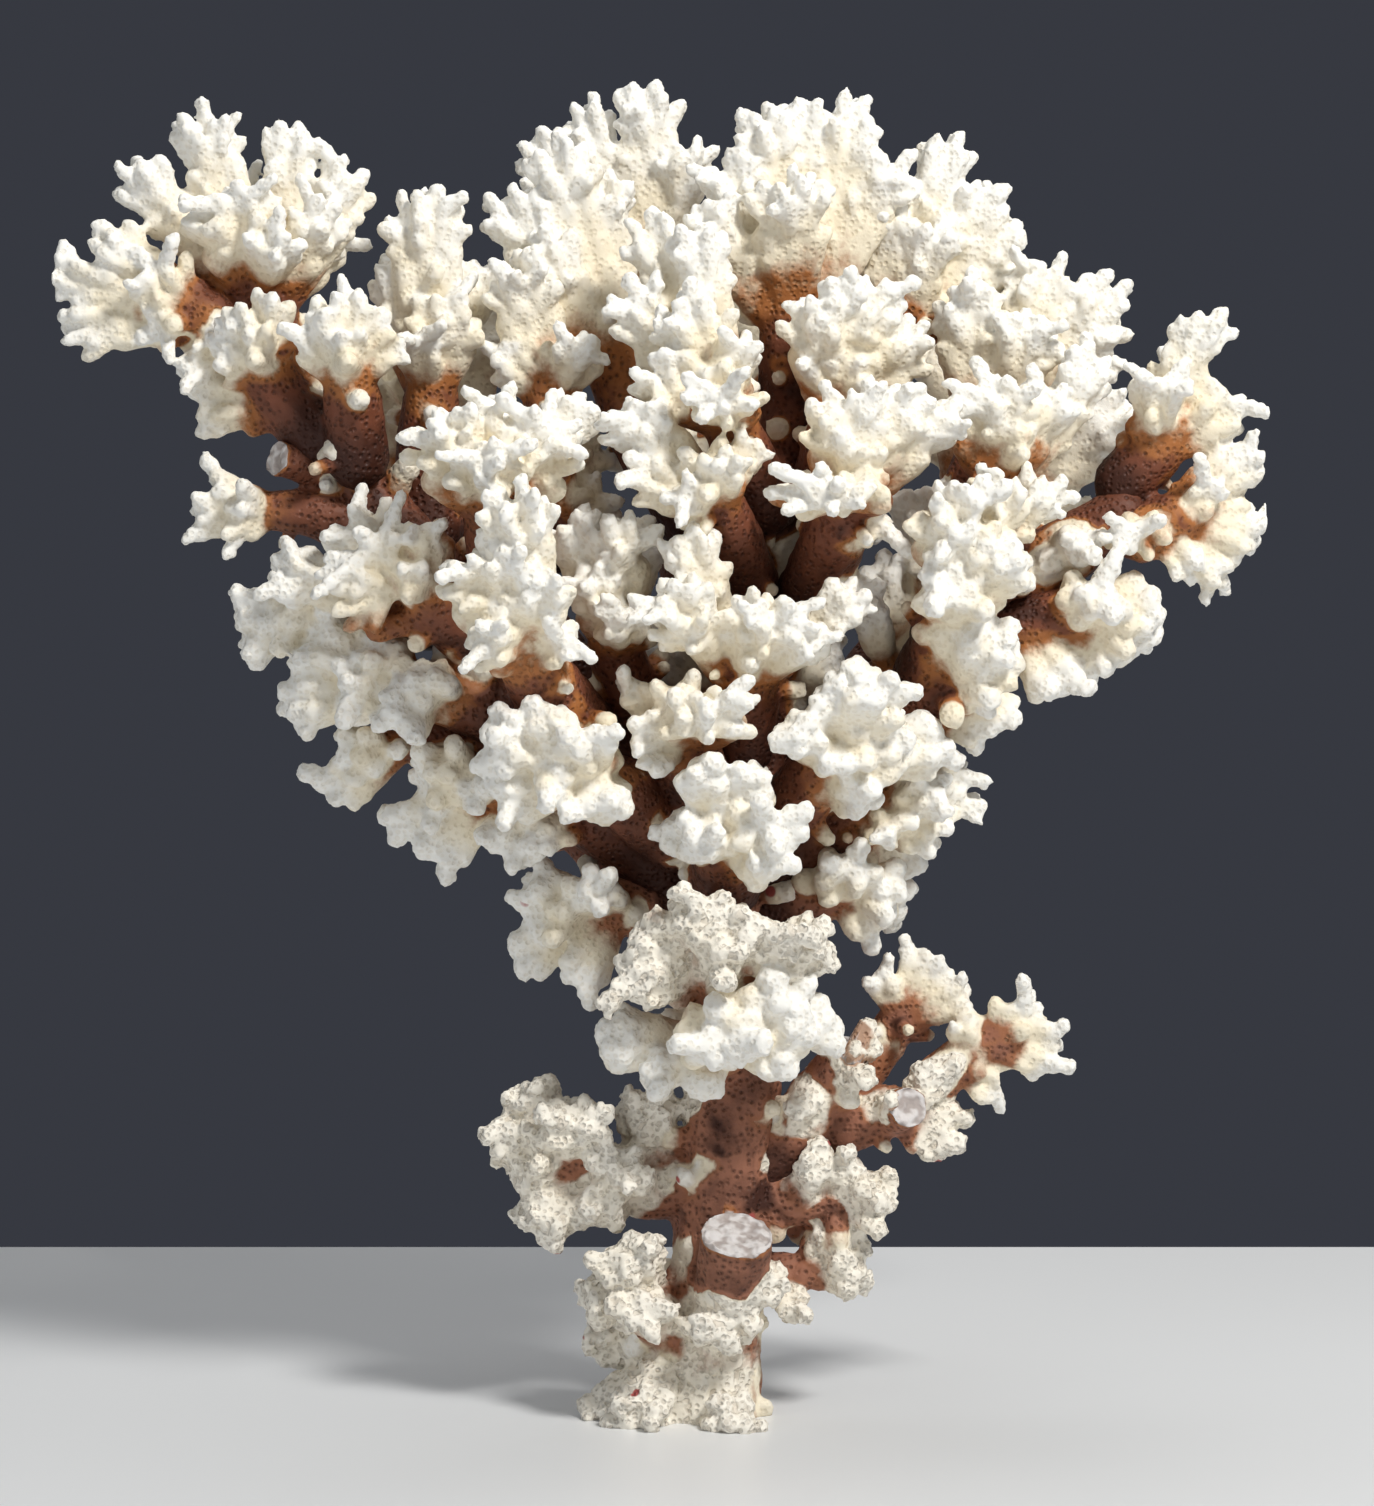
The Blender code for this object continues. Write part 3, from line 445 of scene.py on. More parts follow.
        [(55, -18, 209, 24, 13), (67, -12, 208, 16, 12), (76, -6, 214, 15, 11)],
    ),
    "far_right": (
        "ragged",
        [(80, 4, 188, 6), (86, 3, 194, 6), (90, 2, 200, 5.5)],
        [(88, -8, 210, 18, 11), (98, 0, 223, 13, 9), (105, 0, 206, 16, 9), (92, 2, 216, 13, 9),
         (92, 16, 210, 18, 11)],
    ),
    "far_right_low": (
        "ragged",
        [(84, 0, 178, 6), (90, 0, 181, 5.5), (96, 1, 183, 5)],
        [(107, 2, 195, 16, 9), (109, 2, 177, 14, 8), (102, 2, 167, 12, 8), (95, -2, 170, 13, 9),
         (82, -12, 178, 17, 12), (98, -5, 189, 13, 9), (98, 14, 184, 16, 10)],
    ),
    "right_mid": (
        "ragged",
        [(44, -6, 158, 6.5), (48, -13, 166, 6.5), (52, -18, 174, 6)],
        [(46, -31, 187, 25, 12), (45, -31, 178, 12, 9), (58, -24, 191, 14, 9), (67, -15, 190, 15, 12)],
    ),
    "right_mid_front": (
        "blunt",
        [(40, -8, 150, 6), (45, -15, 158, 6), (49, -20, 165, 5.5)],
        [(57, -29, 177, 20, 12), (45, -29, 168, 19, 11)],
    ),
    "right_lower_outer": (
        "blunt",
        [(60, -3, 160, 6), (68, -4, 162, 5.5), (76, -4, 161, 5)],
        [(76, -13, 167, 16, 12), (87, -4, 164, 15, 10), (83, -2, 156, 13, 9), (76, -4, 150, 15, 10),
         (69, -9, 147, 15, 11), (80, 10, 158, 16, 10)],
    ),
    "right_lower_inner": (
        "blunt",
        [(34, -4, 138, 6.5), (42, -10, 145, 6.5), (49, -14, 149, 6)],
        [(56, -24, 159, 23, 12), (54, -15, 146, 13, 10), (54, -9, 138, 13, 10), (60, -8, 142, 12, 9)],
    ),
    "centre_mid": (
        "ragged",
        [(4, -8, 136, 7), (5, -16, 146, 7), (5, -22, 154, 6.5)],
        [(12, -35, 165, 22, 14), (20, -33, 159, 13, 10), (-12, -36, 168, 20, 16), (28, -23, 167, 12, 10),
         (-8, -28, 181, 15, 10)],
    ),
    "centre_left": (
        "ragged",
        [(-14, 4, 134, 7), (-19, -4, 148, 6.5), (-22, -11, 160, 6)],
        [(-27, -22, 172, 15, 11), (-20, -22, 183, 17, 12), (-31, -18, 183, 14, 10),
         (-18, -24, 162, 13, 10), (-16, -6, 176, 14, 11)],
    ),
    "back_left": (
        "ragged",
        [(-14, 14, 128, 8.5), (-34, 24, 154, 8), (-50, 30, 178, 7), (-60, 34, 198, 6.5)],
        [(-68, 42, 226, 26, 14), (-50, 48, 230, 24, 14), (-84, 30, 214, 22, 13), (-74, 44, 202, 22, 13),
         (-54, 52, 204, 22, 13), (-82, 32, 186, 20, 13), (-58, 46, 178, 20, 13), (-40, 42, 160, 18, 12)],
    ),
    "back_middle": (
        "ragged",
        [(0, 18, 130, 8.5), (-4, 30, 158, 8), (-6, 38, 184, 7), (-6, 42, 206, 6.5)],
        [(-10, 52, 242, 26, 15), (8, 50, 238, 24, 14), (-26, 48, 230, 24, 14), (4, 58, 216, 24, 15),
         (-18, 58, 206, 24, 14), (-4, 58, 186, 22, 14), (12, 50, 176, 20, 13), (-12, 46, 160, 18, 13)],
    ),
    "back_right": (
        "ragged",
        [(14, 14, 126, 8.5), (32, 24, 150, 8), (48, 30, 172, 7), (58, 33, 192, 6.5)],
        [(66, 40, 220, 26, 14), (46, 46, 226, 24, 14), (82, 30, 204, 22, 13), (66, 46, 198, 22, 13),
         (48, 52, 200, 22, 14), (78, 32, 178, 20, 13), (54, 44, 174, 20, 13), (38, 42, 156, 18, 12)],
    ),
    "back_low_left": (
        "blunt",
        [(-8, 12, 100, 8), (-20, 20, 112, 7), (-32, 26, 124, 6.5)],
        [(-48, 26, 134, 18, 12), (-36, 36, 136, 18, 12), (-42, 28, 118, 16, 12), (-24, 34, 118, 16, 12),
         (-24, 28, 102, 14, 10)],
    ),
    "back_low_right": (
        "blunt",
        [(8, 12, 96, 8), (18, 20, 108, 7), (28, 26, 118, 6.5)],
        [(44, 26, 130, 18, 12), (32, 36, 132, 18, 12), (40, 26, 114, 16, 12), (20, 34, 114, 16, 12),
         (18, 28, 96, 14, 10)],
    ),
}

# Where a branch broke off, its stub ends in a flat face: foot of the stub, face and radius.
STUBS = {
    "trunk": [((2, -10, 24), (3.5, -17, 37), 7.4)],
    "right_arm": [((22, -3, 66), (26, -6, 75), 5.2)],
    "right_arm_tip": [((34, -2, 61), (38, -9, 63), 4.2)],
    "left_stem": [((-78, 2, 190), (-88, -5, 193), 3.6)],
}

# The pieces, each grown as one mesh: its limbs, its material slot, and its voxel size.
GROUPS = {
    "trunk_and_foot": (("trunk", "foot_left_arm", "foot_right_arm", "low_left_arm", "low_right_spur"),
                       "brown_stem", 0.66),
    "right_arm_branch": (("right_arm", "right_arm_tip", "antler_right", "antler_left"),
                         "worn_crust", 0.66),
    "front_shelves": (("front_shelf", "front_shelf_low", "mid_left", "mid_right"), "worn_crust", 0.66),
    "low_branches": (("centre_low", "right_low", "right_low_front", "left_low", "left_low_outer",
                      "centre_low_left", "centre"), "cream_lobes", 0.66),
    "left_branches": (("left_stem", "left_mid", "left_outer", "left_upper_outer", "left_front"),
                      "cream_lobes", 0.66),
    "left_crown_branches": (("left_fan_outer", "left_fan_inner", "left_crown", "left_crown_outer"),
                            "white_tips", 0.66),
    "middle_branches": (("centre_front", "centre_upper", "upper_left", "upper_middle", "centre_left",
                         "centre_mid"), "white_tips", 0.66),
    "crown_branches": (("centre_stem", "top_left", "top_left_back", "top_centre", "centre_fan",
                        "centre_fan_low"), "white_tips", 0.66),
    "right_crown_branches": (("right_stem", "right_centre", "right_centre_front", "right_upper",
                              "right_upper_front", "top_right"), "white_tips", 0.66),
    "right_branches": (("far_right", "far_right_low", "right_mid", "right_mid_front",
                        "right_lower_outer", "right_lower_inner"), "white_tips", 0.66),
    "back_branches": (("back_left", "back_middle", "back_right", "back_low_left", "back_low_right"),
                      "white_tips", 0.9),
}


def front_view(x, depth, z):
    """The place in metres of what the front view shows at x and z, at that depth."""
    nearness = 1 + depth / VIEW_DISTANCE
    across = VIEW_MIDDLE[0] + (x - VIEW_MIDDLE[0]) * nearness
    rise = (z - VIEW_MIDDLE[1]) * nearness - depth * math.sin(VIEW_DOWN)
    return Vector((across, depth, VIEW_MIDDLE[1] + rise / math.cos(VIEW_DOWN))) * MM


def closest_on_stem(stem, place):
    """How far a place is from a stem's line, and how far along the stem its nearest point is."""
    best = None
    walked = 0.0
    for start, end in zip(stem, stem[1:]):
        run = end - start
        share = max(0.0, min(1.0, (place - start).dot(run) / run.length_squared))
        point = start + run * share
        gap = (place - point).length
        if best is None or gap < best[0]:
            best = (gap, walked + run.length * share)
        walked += run.length
    return best


def point_along(stem, distance):
    """The point that far along a stem's line, held to its two ends."""
    distance = max(0.0, distance)
    for start, end in zip(stem, stem[1:]):
        run = end - start
        if distance <= run.length:
            return start + run * (distance / run.length)
        distance -= run.length
    return stem[-1].copy()


def lobe_root(stem, tip):
    """Where a lobe leaves its stem: lower than the nearest point, because branches lean outwards."""
    gap, along = closest_on_stem(stem, tip)
    return point_along(stem, along - LEAN * gap)


def lobe_axes(root, tip):
    """The lobe's own axes: the way it grows, the way its fan is broad, and the fan's flat side."""
    grows = (tip - root).normalized()
    viewer = Vector((0, -1, 0))
    flat = viewer - grows * viewer.dot(grows)
    if flat.length < 0.5:
        flat = Vector((0, 0, 1)) - grows * grows.z
    flat.normalize()
    return grows, grows.cross(flat), flat


class CoralGrowth(bpy.types.PropertyGroup):
    """Sizes of the fingers, knobs and worn crust."""

    finger_crowding: bpy.props.FloatProperty(
        name="Finger crowding", description="How closely the fingers of a lobe stand",
        default=1.0, min=0.5, max=2.0, subtype="FACTOR")
    knob_spacing: bpy.props.FloatProperty(
        name="Knob spacing", description="How far apart the small knobs stand along a stem",
        default=5.5 * MM, min=3 * MM, max=30 * MM, subtype="DISTANCE", unit="LENGTH")
    lump_height: bpy.props.FloatProperty(
        name="Lump height", description="How far the sound skeleton's soft lumps stand out",
        default=0.3 * MM, min=0.0, max=2 * MM, subtype="DISTANCE", unit="LENGTH")
    wart_height: bpy.props.FloatProperty(
        name="Wart height", description="How far the small warts stand out on the finger tips",
        default=0.55 * MM, min=0.0, max=2 * MM, subtype="DISTANCE", unit="LENGTH")
    crust_height: bpy.props.FloatProperty(
        name="Crust height", description="How far the worn crust's knobs stand out",
        default=1.1 * MM, min=0.0, max=3 * MM, subtype="DISTANCE", unit="LENGTH")
    white_reach: bpy.props.FloatProperty(
        name="White reach", description="The share of a lobe, from its tips down, that grew white",
        default=0.76, min=0.1, max=1.0, subtype="FACTOR")


class CoralColours(bpy.types.PropertyGroup):
    """Colours of the skeleton from its stems to its tips."""

    stem: bpy.props.FloatVectorProperty(
        name="Stem", description="Red-brown of the stems", subtype="COLOR", size=3,
        min=0, max=1, default=(0.175, 0.055, 0.027))
    dust: bpy.props.FloatVectorProperty(
        name="Dusty stem", description="Faded red-brown of the trunk", subtype="COLOR", size=3,
        min=0, max=1, default=(0.33, 0.14, 0.085))
    # The deep stem colour is partly the stems' own dark brown and partly painted shade, laid on deep
    # between the limbs, at the forks and where knobs leave the stems.
    shade: bpy.props.FloatVectorProperty(
        name="Deep stem and painted shade", description="Dark brown of the stems, with painted shade deep between the limbs", subtype="COLOR", size=3,
        min=0, max=1, default=(0.05, 0.014, 0.007))
    amber: bpy.props.FloatVectorProperty(
        name="Amber", description="Orange stain where the brown ends", subtype="COLOR", size=3,
        min=0, max=1, default=(0.38, 0.14, 0.04))
    cream: bpy.props.FloatVectorProperty(
        name="Cream", description="Body of the lobes", subtype="COLOR", size=3,
        min=0, max=1, default=(0.88, 0.795, 0.62))
    white: bpy.props.FloatVectorProperty(
        name="White", description="Tips of the fingers", subtype="COLOR", size=3,
        min=0, max=1, default=(0.92, 0.905, 0.855))
    crust: bpy.props.FloatVectorProperty(
        name="Crust", description="Worn, chalky skeleton", subtype="COLOR", size=3,
        min=0, max=1, default=(0.90, 0.845, 0.735))


class CoralStudio(bpy.types.PropertyGroup):
    """The camera, the floor and the light."""

    floor_colour: bpy.props.FloatVectorProperty(
        name="Floor", description="Pale table top", subtype="COLOR", size=3,
        min=0, max=1, default=(0.78, 0.79, 0.80))
    backdrop_colour: bpy.props.FloatVectorProperty(
        name="Backdrop", description="Plain dark room behind", subtype="COLOR", size=3,
        min=0, max=1, default=(0.038, 0.041, 0.052))
    frame_height: bpy.props.FloatProperty(
        name="Frame height", description="What the picture's long side takes in at the colony",
        default=301.2 * MM, min=0.1, max=1.0, subtype="DISTANCE", unit="LENGTH")


def select_only(thing):
    bpy.ops.object.select_all(action="DESELECT")
    thing.select_set(True)
    bpy.context.view_layer.objects.active = thing


def triangles_of(thing):
    """An object's points and triangles as arrays."""
    mesh = thing.data
    mesh.calc_loop_triangles()
    points = np.empty(len(mesh.vertices) * 3)
    mesh.vertices.foreach_get("co", points)
    corners = np.empty(len(mesh.loop_triangles) * 3, dtype=np.int64)
    mesh.loop_triangles.foreach_get("vertices", corners)
    return points.reshape(-1, 3), corners.reshape(-1, 3)


def take_template(thing):
    """Reads a finished template's mesh and removes its object."""
    shape = triangles_of(thing)
    bpy.data.objects.remove(thing)
    return shape


def model_shaft(taper):
    """A finger's round shaft, one unit long along +Z with a unit radius at its foot."""
    bpy.ops.object.select_all(action="DESELECT")
    bpy.ops.mesh.primitive_cone_add(vertices=12, radius1=1.0, radius2=taper, depth=1.0,
                                    location=(0, 0, 0.5))
    shaft = bpy.context.object
    bpy.ops.object.mode_set(mode="EDIT")
    bpy.ops.mesh.select_all(action="SELECT")
    bpy.ops.transform.translate(value=(0, 0, 0.5))
    bpy.ops.object.mode_set(mode="OBJECT")
    shaft.location = (0, 0, 0)
    return take_template(shaft)


def add_nub(place, radius):
    """Adds a small ball to the mesh being edited."""
    bpy.ops.mesh.primitive_ico_sphere_add(subdivisions=1, radius=radius, location=place)


def model_tip(nubs):
    """A finger's tip with a unit radius: a ball that carries small nubs."""
    bpy.ops.object.select_all(action="DESELECT")
    bpy.ops.mesh.primitive_ico_sphere_add(subdivisions=2, radius=1.0, location=(0, 0, 0))
    tip = bpy.context.object
    bpy.ops.object.mode_set(mode="EDIT")
    for turn, rise, out, radius in nubs:
        place = (out * math.cos(turn), out * math.sin(turn), rise)
        add_nub(place, radius)
    bpy.ops.object.mode_set(mode="OBJECT")
    return take_template(tip)


def ring_of_nubs(count, rise, out, radius, start=0.0):
    """Nubs evenly round a tip, as (turn, rise, out, radius)."""
    return [(start + k * math.tau / count, rise, out, radius) for k in range(count)]


def model_templates():
    """The few shapes that every lobe is grown from."""
    return {
        "shaft": model_shaft(1.0),
        "ragged": model_tip([(0, 0.5, 0.2, 0.78)] + ring_of_nubs(3, 0.05, 0.66, 0.52, 0.4)
                            + ring_of_nubs(2, -1.3, 0.85, 0.5, 0.2)
                            + ring_of_nubs(3, -2.6, 0.85, 0.5, 1.2)),
        "blunt": model_tip(ring_of_nubs(3, 0.25, 0.35, 0.78, 0.3) + ring_of_nubs(2, -1.2, 0.7, 0.6, 0.9)),
        "crusted": model_tip(ring_of_nubs(4, 0.25, 0.62, 0.66) + ring_of_nubs(3, -0.95, 0.75, 0.62, 0.5)
                             + ring_of_nubs(3, -2.1, 0.8, 0.6, 1.1)),
        "plated": model_tip(ring_of_nubs(2, 0.1, 0.45, 0.85, 0.3)),
        "ball": model_tip([]),
    }


class Growth:
    """Gathers the copies of the templates for one piece, and what its surface knows of them."""

    def __init__(self, templates):
        self.templates = templates
        self.points = []
        self.corners = []
        self.count = 0
        self.samples = []

    def add(self, shape, matrix, widths=None):
        """One copy of a template. widths scales each point's sides by its height along +Z."""
        points, corners = self.templates[shape]
        if widths:
            side = widths[0] + (widths[1] - widths[0]) * points[:, 2:3]
            points = np.hstack([points[:, :2] * side, points[:, 2:3]])
        turn = np.array(matrix)
        self.points.append(points @ turn[:3, :3].T + turn[:3, 3])
        self.corners.append(corners + self.count)
        self.count += len(points)

    def finger(self, start, start_radius, end, end_radius, tip, spin, outs, wear):
        """A tapering finger from start to end. outs is how far out its two ends grew."""
        run = end - start
        length = run.length
        turn = run.to_track_quat("Z", "Y").to_matrix().to_4x4()
        stretch = Matrix.Diagonal((1, 1, length, 1))
        self.add("shaft", Matrix.Translation(start) @ turn @ stretch, (start_radius, end_radius))
        knob = Matrix.Translation(end) @ turn @ Matrix.Rotation(spin, 4, "Z")
        self.add(tip, knob @ Matrix.Scale(end_radius, 4))
        self.add("ball", Matrix.Translation(start) @ Matrix.Scale(start_radius, 4))
        steps = max(2, math.ceil(length / (2.5 * MM)))
        for k in range(steps + 1):
            share = k / steps
            self.samples.append((start + run * share,
                                 start_radius + (end_radius - start_radius) * share,
                                 outs[0] + (outs[1] - outs[0]) * share, wear, 0.0))

    def mesh_object(self, name):
        """The gathered copies as one raw mesh object."""
        points = np.concatenate(self.points).astype(np.float32)
        corners = np.concatenate(self.corners).astype(np.int32)
        mesh = bpy.data.meshes.new(name)
        mesh.vertices.add(len(points))
        mesh.vertices.foreach_set("co", points.ravel())
        mesh.loops.add(corners.size)
        mesh.loops.foreach_set("vertex_index", corners.ravel())
        mesh.polygons.add(len(corners))
        mesh.polygons.foreach_set("loop_start", np.arange(0, corners.size, 3, dtype=np.int32))
        mesh.update(calc_edges=True)
        thing = bpy.data.objects.new(name, mesh)
        bpy.context.scene.collection.objects.link(thing)
        return thing


def grow_lobe(growth, sizes, root, tip, width, thickness, habit, chance):
    """One lobe: a core, a fan of fingers on it, and small knobs down its sides."""
    neck_radius, tip_radius, stagger, droop, spacing, wear = HABITS[habit]
    grows, broad, flat = lobe_axes(root, tip)
    length = (tip - root).length
    white_from = length * (1 - sizes.white_reach)

    def outness(place):
        """How far out a place grew: 0 at the brown root, 1 at the lobe's crown."""
        return ((place - root).dot(grows) - white_from) / (length - white_from)

    run = min(length * FINGER_SHARE, LONGEST_FINGER * MM)
    fork = tip - grows * run
    half_width, half_thickness = (size / 2 - EDGE_SHARE * tip_radius for size in (width, thickness))
    body_radius = thickness * BODY_THICKNESS
    body_tops = (-1, 0, 1) if width > 1.3 * thickness else (0,)
    for side in body_tops:
        top = tip - grows * run * BODY_TOP + broad * side * max(0, half_width - body_radius) * 0.8 * MM
        top -= grows * abs(side) * width * droop * 0.5 * MM
        growth.finger(root, ROOT_RADIUS * MM, top, body_radius * MM, "ball", 0.0,
                      (outness(root), outness(top)), wear)
    crowd = sizes.finger_crowding
    count = max(4, round((width * thickness / spacing**2 + width / 6) * crowd))
    for k in range(count):
        out = math.sqrt((k + 0.6) / count)
        turn = k * GOLDEN_ANGLE + chance.uniform(-0.35, 0.35)
        aside = (broad * math.cos(turn) * half_width + flat * math.sin(turn) * half_thickness) * out * MM
        back = out * out * width * droop + chance.uniform(0, stagger)
        end = tip + aside - grows * (back - TIP_REACH * tip_radius) * MM
        start = fork + aside * FINGER_SPREAD
        growth.finger(start, neck_radius * MM, end, tip_radius * chance.uniform(0.8, 1.15) * MM,
                      habit, chance.uniform(0, math.tau), (outness(start), outness(end)), wear)
    for k in range(round(length / MM * (width + thickness) / WART_AREA)):
        along = chance.uniform(0.3, 0.85)
        turn = k * GOLDEN_ANGLE + chance.uniform(-0.5, 0.5)
        fullness = min(1.0, 0.2 + along)
        side = (broad * math.cos(turn) * half_width + flat * math.sin(turn) * half_thickness) * fullness
        start = root + grows * length * along
        end = start + side * MM * 0.85 + side.normalized() * chance.uniform(0.3, 1.6) * MM
        end += grows * chance.uniform(3.0, 6.0) * MM
        growth.finger(start, neck_radius * 0.85 * MM, end, tip_radius * chance.uniform(0.75, 1.0) * MM,
                      habit, chance.uniform(0, math.tau), (outness(start), outness(end) + 0.1), wear)


def grow_stem(growth, sizes, name, stem, radii, habit, chance):
    """A limb's stem with its small pale-tipped knobs."""
    neck_radius, tip_radius, _, _, _, wear = HABITS[habit]
    low, high = STEM_GROWTH.get(name, STEM_GROWTH["any"])
    spans = len(stem) - 1
    for k in range(spans):
        outs = [low + (high - low) * (k + end) / spans for end in (0, 1)]
        taper = END_TAPER if k == spans - 1 else 1.0
        growth.finger(stem[k], radii[k], stem[k + 1], radii[k + 1] * taper, "ball", 0.0, outs,
                      wear * min(1.0, max(0.15, outs[1] + 0.5)))
    for k in range(len(stem) - 1):
        run = stem[k + 1] - stem[k]
        grows = run.normalized()
        for j in range(round(run.length / sizes.knob_spacing)):
            place = stem[k] + run * chance.random()
            turn = chance.uniform(0, math.tau)
            across = grows.orthogonal().normalized()
            side = Matrix.Rotation(turn, 3, grows) @ across
            radius = radii[k] * 0.5 + radii[k + 1] * 0.5
            end = place + side * (radius + chance.uniform(-0.5, 4.2) * MM)
            end += grows * chance.uniform(0.5, 4.5) * MM
            # A knob's neck starts at -1.6, in the deep stem colour, which paints shade where the knob
            # leaves its stem.
            growth.finger(place, neck_radius * MM, end, tip_radius * chance.uniform(0.6, 1.3) * MM,
                          "blunt", chance.uniform(0, math.tau), (-1.6, chance.uniform(0.25, 0.85)),
                          wear * 0.4)


def cap_stem(growth, stem, radius, habit, chance):
    """A few short pale fingers that close a stem's end, turned to the nearer broad face."""
    neck_radius, tip_radius, _, _, _, wear = HABITS[habit]
    outward = Vector((0, math.copysign(END_OUTWARD, stem[-1].y), 0))
    heading = ((stem[-1] - stem[-2]).normalized() + outward).normalized()
    across = heading.orthogonal().normalized()
    for k in range(END_FINGERS):
        side = Matrix.Rotation(k * GOLDEN_ANGLE, 3, heading) @ across
        slant = 0.9 * math.sqrt(k / END_FINGERS)
        end = stem[-1] + (heading + side * slant) * (radius + chance.uniform(1.5, 3.5) * MM)
        growth.finger(stem[-1], radius * 0.7, end, tip_radius * MM, habit,
                      chance.uniform(0, math.tau), (0.2, chance.uniform(0.5, 0.9)), wear)


def grow_limb(growth, sizes, name):
    """A limb: its stem, then its lobes."""
    habit, stem_rows, lobes = LIMBS[name]
    chance = random.Random(name)
    stem = [front_view(*row[:3]) for row in stem_rows]
    radii = [row[3] * MM for row in stem_rows]
    grow_stem(growth, sizes, name, stem, radii, habit, chance)
    for x, depth, z, width, thickness in lobes:
        tip = front_view(x, depth, z)
        grow_lobe(growth, sizes, lobe_root(stem, tip), tip, width, thickness, habit, chance)
    if STEM_GROWTH.get(name, STEM_GROWTH["any"])[1] > 0:
        cap_stem(growth, stem, radii[-1], habit, chance)
    for foot, face, radius in STUBS.get(name, []):
        growth.finger(front_view(*foot), radius * MM, front_view(*face), radius * MM, "ball", 0.0,
                      (-0.5, -0.4), 0.1)


def apply_modifier(thing, kind, **values):
    """Adds a modifier with these values and applies it."""
    modifier = thing.modifiers.new(kind.lower(), kind)
    for name, value in values.items():
        setattr(modifier, name, value)
    bpy.ops.object.modifier_apply(modifier=modifier.name)


def signed_volume(points, corners):
    a, b, c = (points[corners[:, k]] for k in range(3))
    return np.einsum("ij,ij->i", a, np.cross(b, c)).sum() / 6


def drop_crumbs(thing, least):
    """Removes sealed pockets and loose crumbs under that volume. Returns the object that is left."""
    select_only(thing)
    bpy.ops.object.mode_set(mode="EDIT")
    bpy.ops.mesh.select_all(action="SELECT")
    bpy.ops.mesh.separate(type="LOOSE")
    bpy.ops.object.mode_set(mode="OBJECT")
    kept = []
    for body in list(bpy.context.selected_objects):
        if signed_volume(*triangles_of(body)) < least:
            bpy.data.objects.remove(body)
        else:
            kept.append(body)
    bpy.ops.object.select_all(action="DESELECT")
    for body in kept:
        body.select_set(True)
    bpy.context.view_layer.objects.active = kept[0]
    if len(kept) > 1:
        bpy.ops.object.join()
    return bpy.context.view_layer.objects.active


def cut_foot(thing):
    """Cuts a piece off flat on the floor, and closes the cut."""
    if min(v.co.z for v in thing.data.vertices) > 0:
        return
    select_only(thing)
    bpy.ops.object.mode_set(mode="EDIT")
    bpy.ops.mesh.select_all(action="SELECT")
    bpy.ops.mesh.bisect(plane_co=(0, 0, 0), plane_no=(0, 0, 1), use_fill=True, clear_inner=True,
                        threshold=1e-6)
    bpy.ops.object.mode_set(mode="OBJECT")


def read_places(samples, points):
    """For each point, how far out it grew and how worn it is, from the nearest grown surface."""
    tree = kdtree.KDTree(len(samples))
    for k, sample in enumerate(samples):
        tree.insert(sample[0], k)
    tree.balance()
    found = np.empty((len(points), 2))
    for k, point in enumerate(points):
        best = min(tree.find_n(point, 6), key=lambda near: near[2] - samples[near[1]][1])
        found[k] = samples[best[1]][2:4]
    return found


def evened(values, edges, count, rounds):
    """Values on vertices, averaged with their neighbours a number of times."""
    weight = np.bincount(edges.ravel(), minlength=count).astype(float)[:, None] + 1
    for _ in range(rounds):
        total = values.copy()
        for column in range(values.shape[1]):
            total[:, column] += np.bincount(edges[:, 0], values[edges[:, 1], column], count)
            total[:, column] += np.bincount(edges[:, 1], values[edges[:, 0], column], count)
        values = total / weight
    return values


def surface_relief(point, out, worn, sizes):
    """How far a place stands out: lumps and warts where it is sound, knobs where it is worn."""
    relief = noise.noise(point / LUMP_SPACING) * sizes.lump_height
    distances, _ = noise.voronoi(point / WART_SPACING)
    wart = max(0.0, 1 - (distances[0] / 0.75)**2)
    relief += (wart - 0.5) * sizes.wart_height * min(1.0, max(0.12, out * 1.2 - 0.25))
    if worn > 0.05:
        distances, _ = noise.voronoi(point / CRUST_KNOB_SPACING)
        knob = 1 - (distances[0] / 0.7)**2
        grain = noise.noise(point / CRUST_GRAIN_SPACING)
        relief += min(1.0, worn) * (knob * 0.7 + grain * 0.35 - 0.3) * sizes.crust_height
    return relief


def break_off(points, name_list):
    """Breaks each stub off to a craggy face. Returns how broken each point is."""
    broken = np.zeros(len(points))
    for name in name_list:
        for foot, face, radius in STUBS.get(name, []):
            end = np.array(front_view(*face))
            axis = end - np.array(front_view(*foot))
            axis /= np.linalg.norm(axis)
            offset = points - end
            past = offset @ axis
            aside = np.linalg.norm(offset - past[:, None] * axis, axis=1)
            near = np.flatnonzero((np.hypot(aside, past) < radius * BREAK_REACH * MM) & (past > -1.5 * MM))
            for k in near:
                rough = noise.noise(Vector(points[k]) / CRAG_SPACING) * CRAG_HEIGHT
                step = past[k] - rough
                if step > 0:
                    points[k] -= step * axis
                if step > -0.3 * MM:
                    broken[k] = 1.0
    return broken


def held_in_box(points):
    """Draws in what would stand out of the CAD model's box, softly over its last millimetres."""
    lowest, highest = (np.array(corner) for corner in CAD_BOX)
    for edge, side in ((highest, 1), (lowest, -1)):
        limit = edge * side - BOX_EASE
        if side < 0:
            limit[2] = 1.0
        over = np.maximum(points * side - limit, 0)
        points = side * (np.minimum(points * side, limit) + BOX_EASE * (1 - np.exp(-over / BOX_EASE)))
    return points


def keep_value(mesh, name, values):
    layer = mesh.attributes.new(name, "FLOAT", "POINT")
    layer.data.foreach_set("value", values.astype(np.float32))


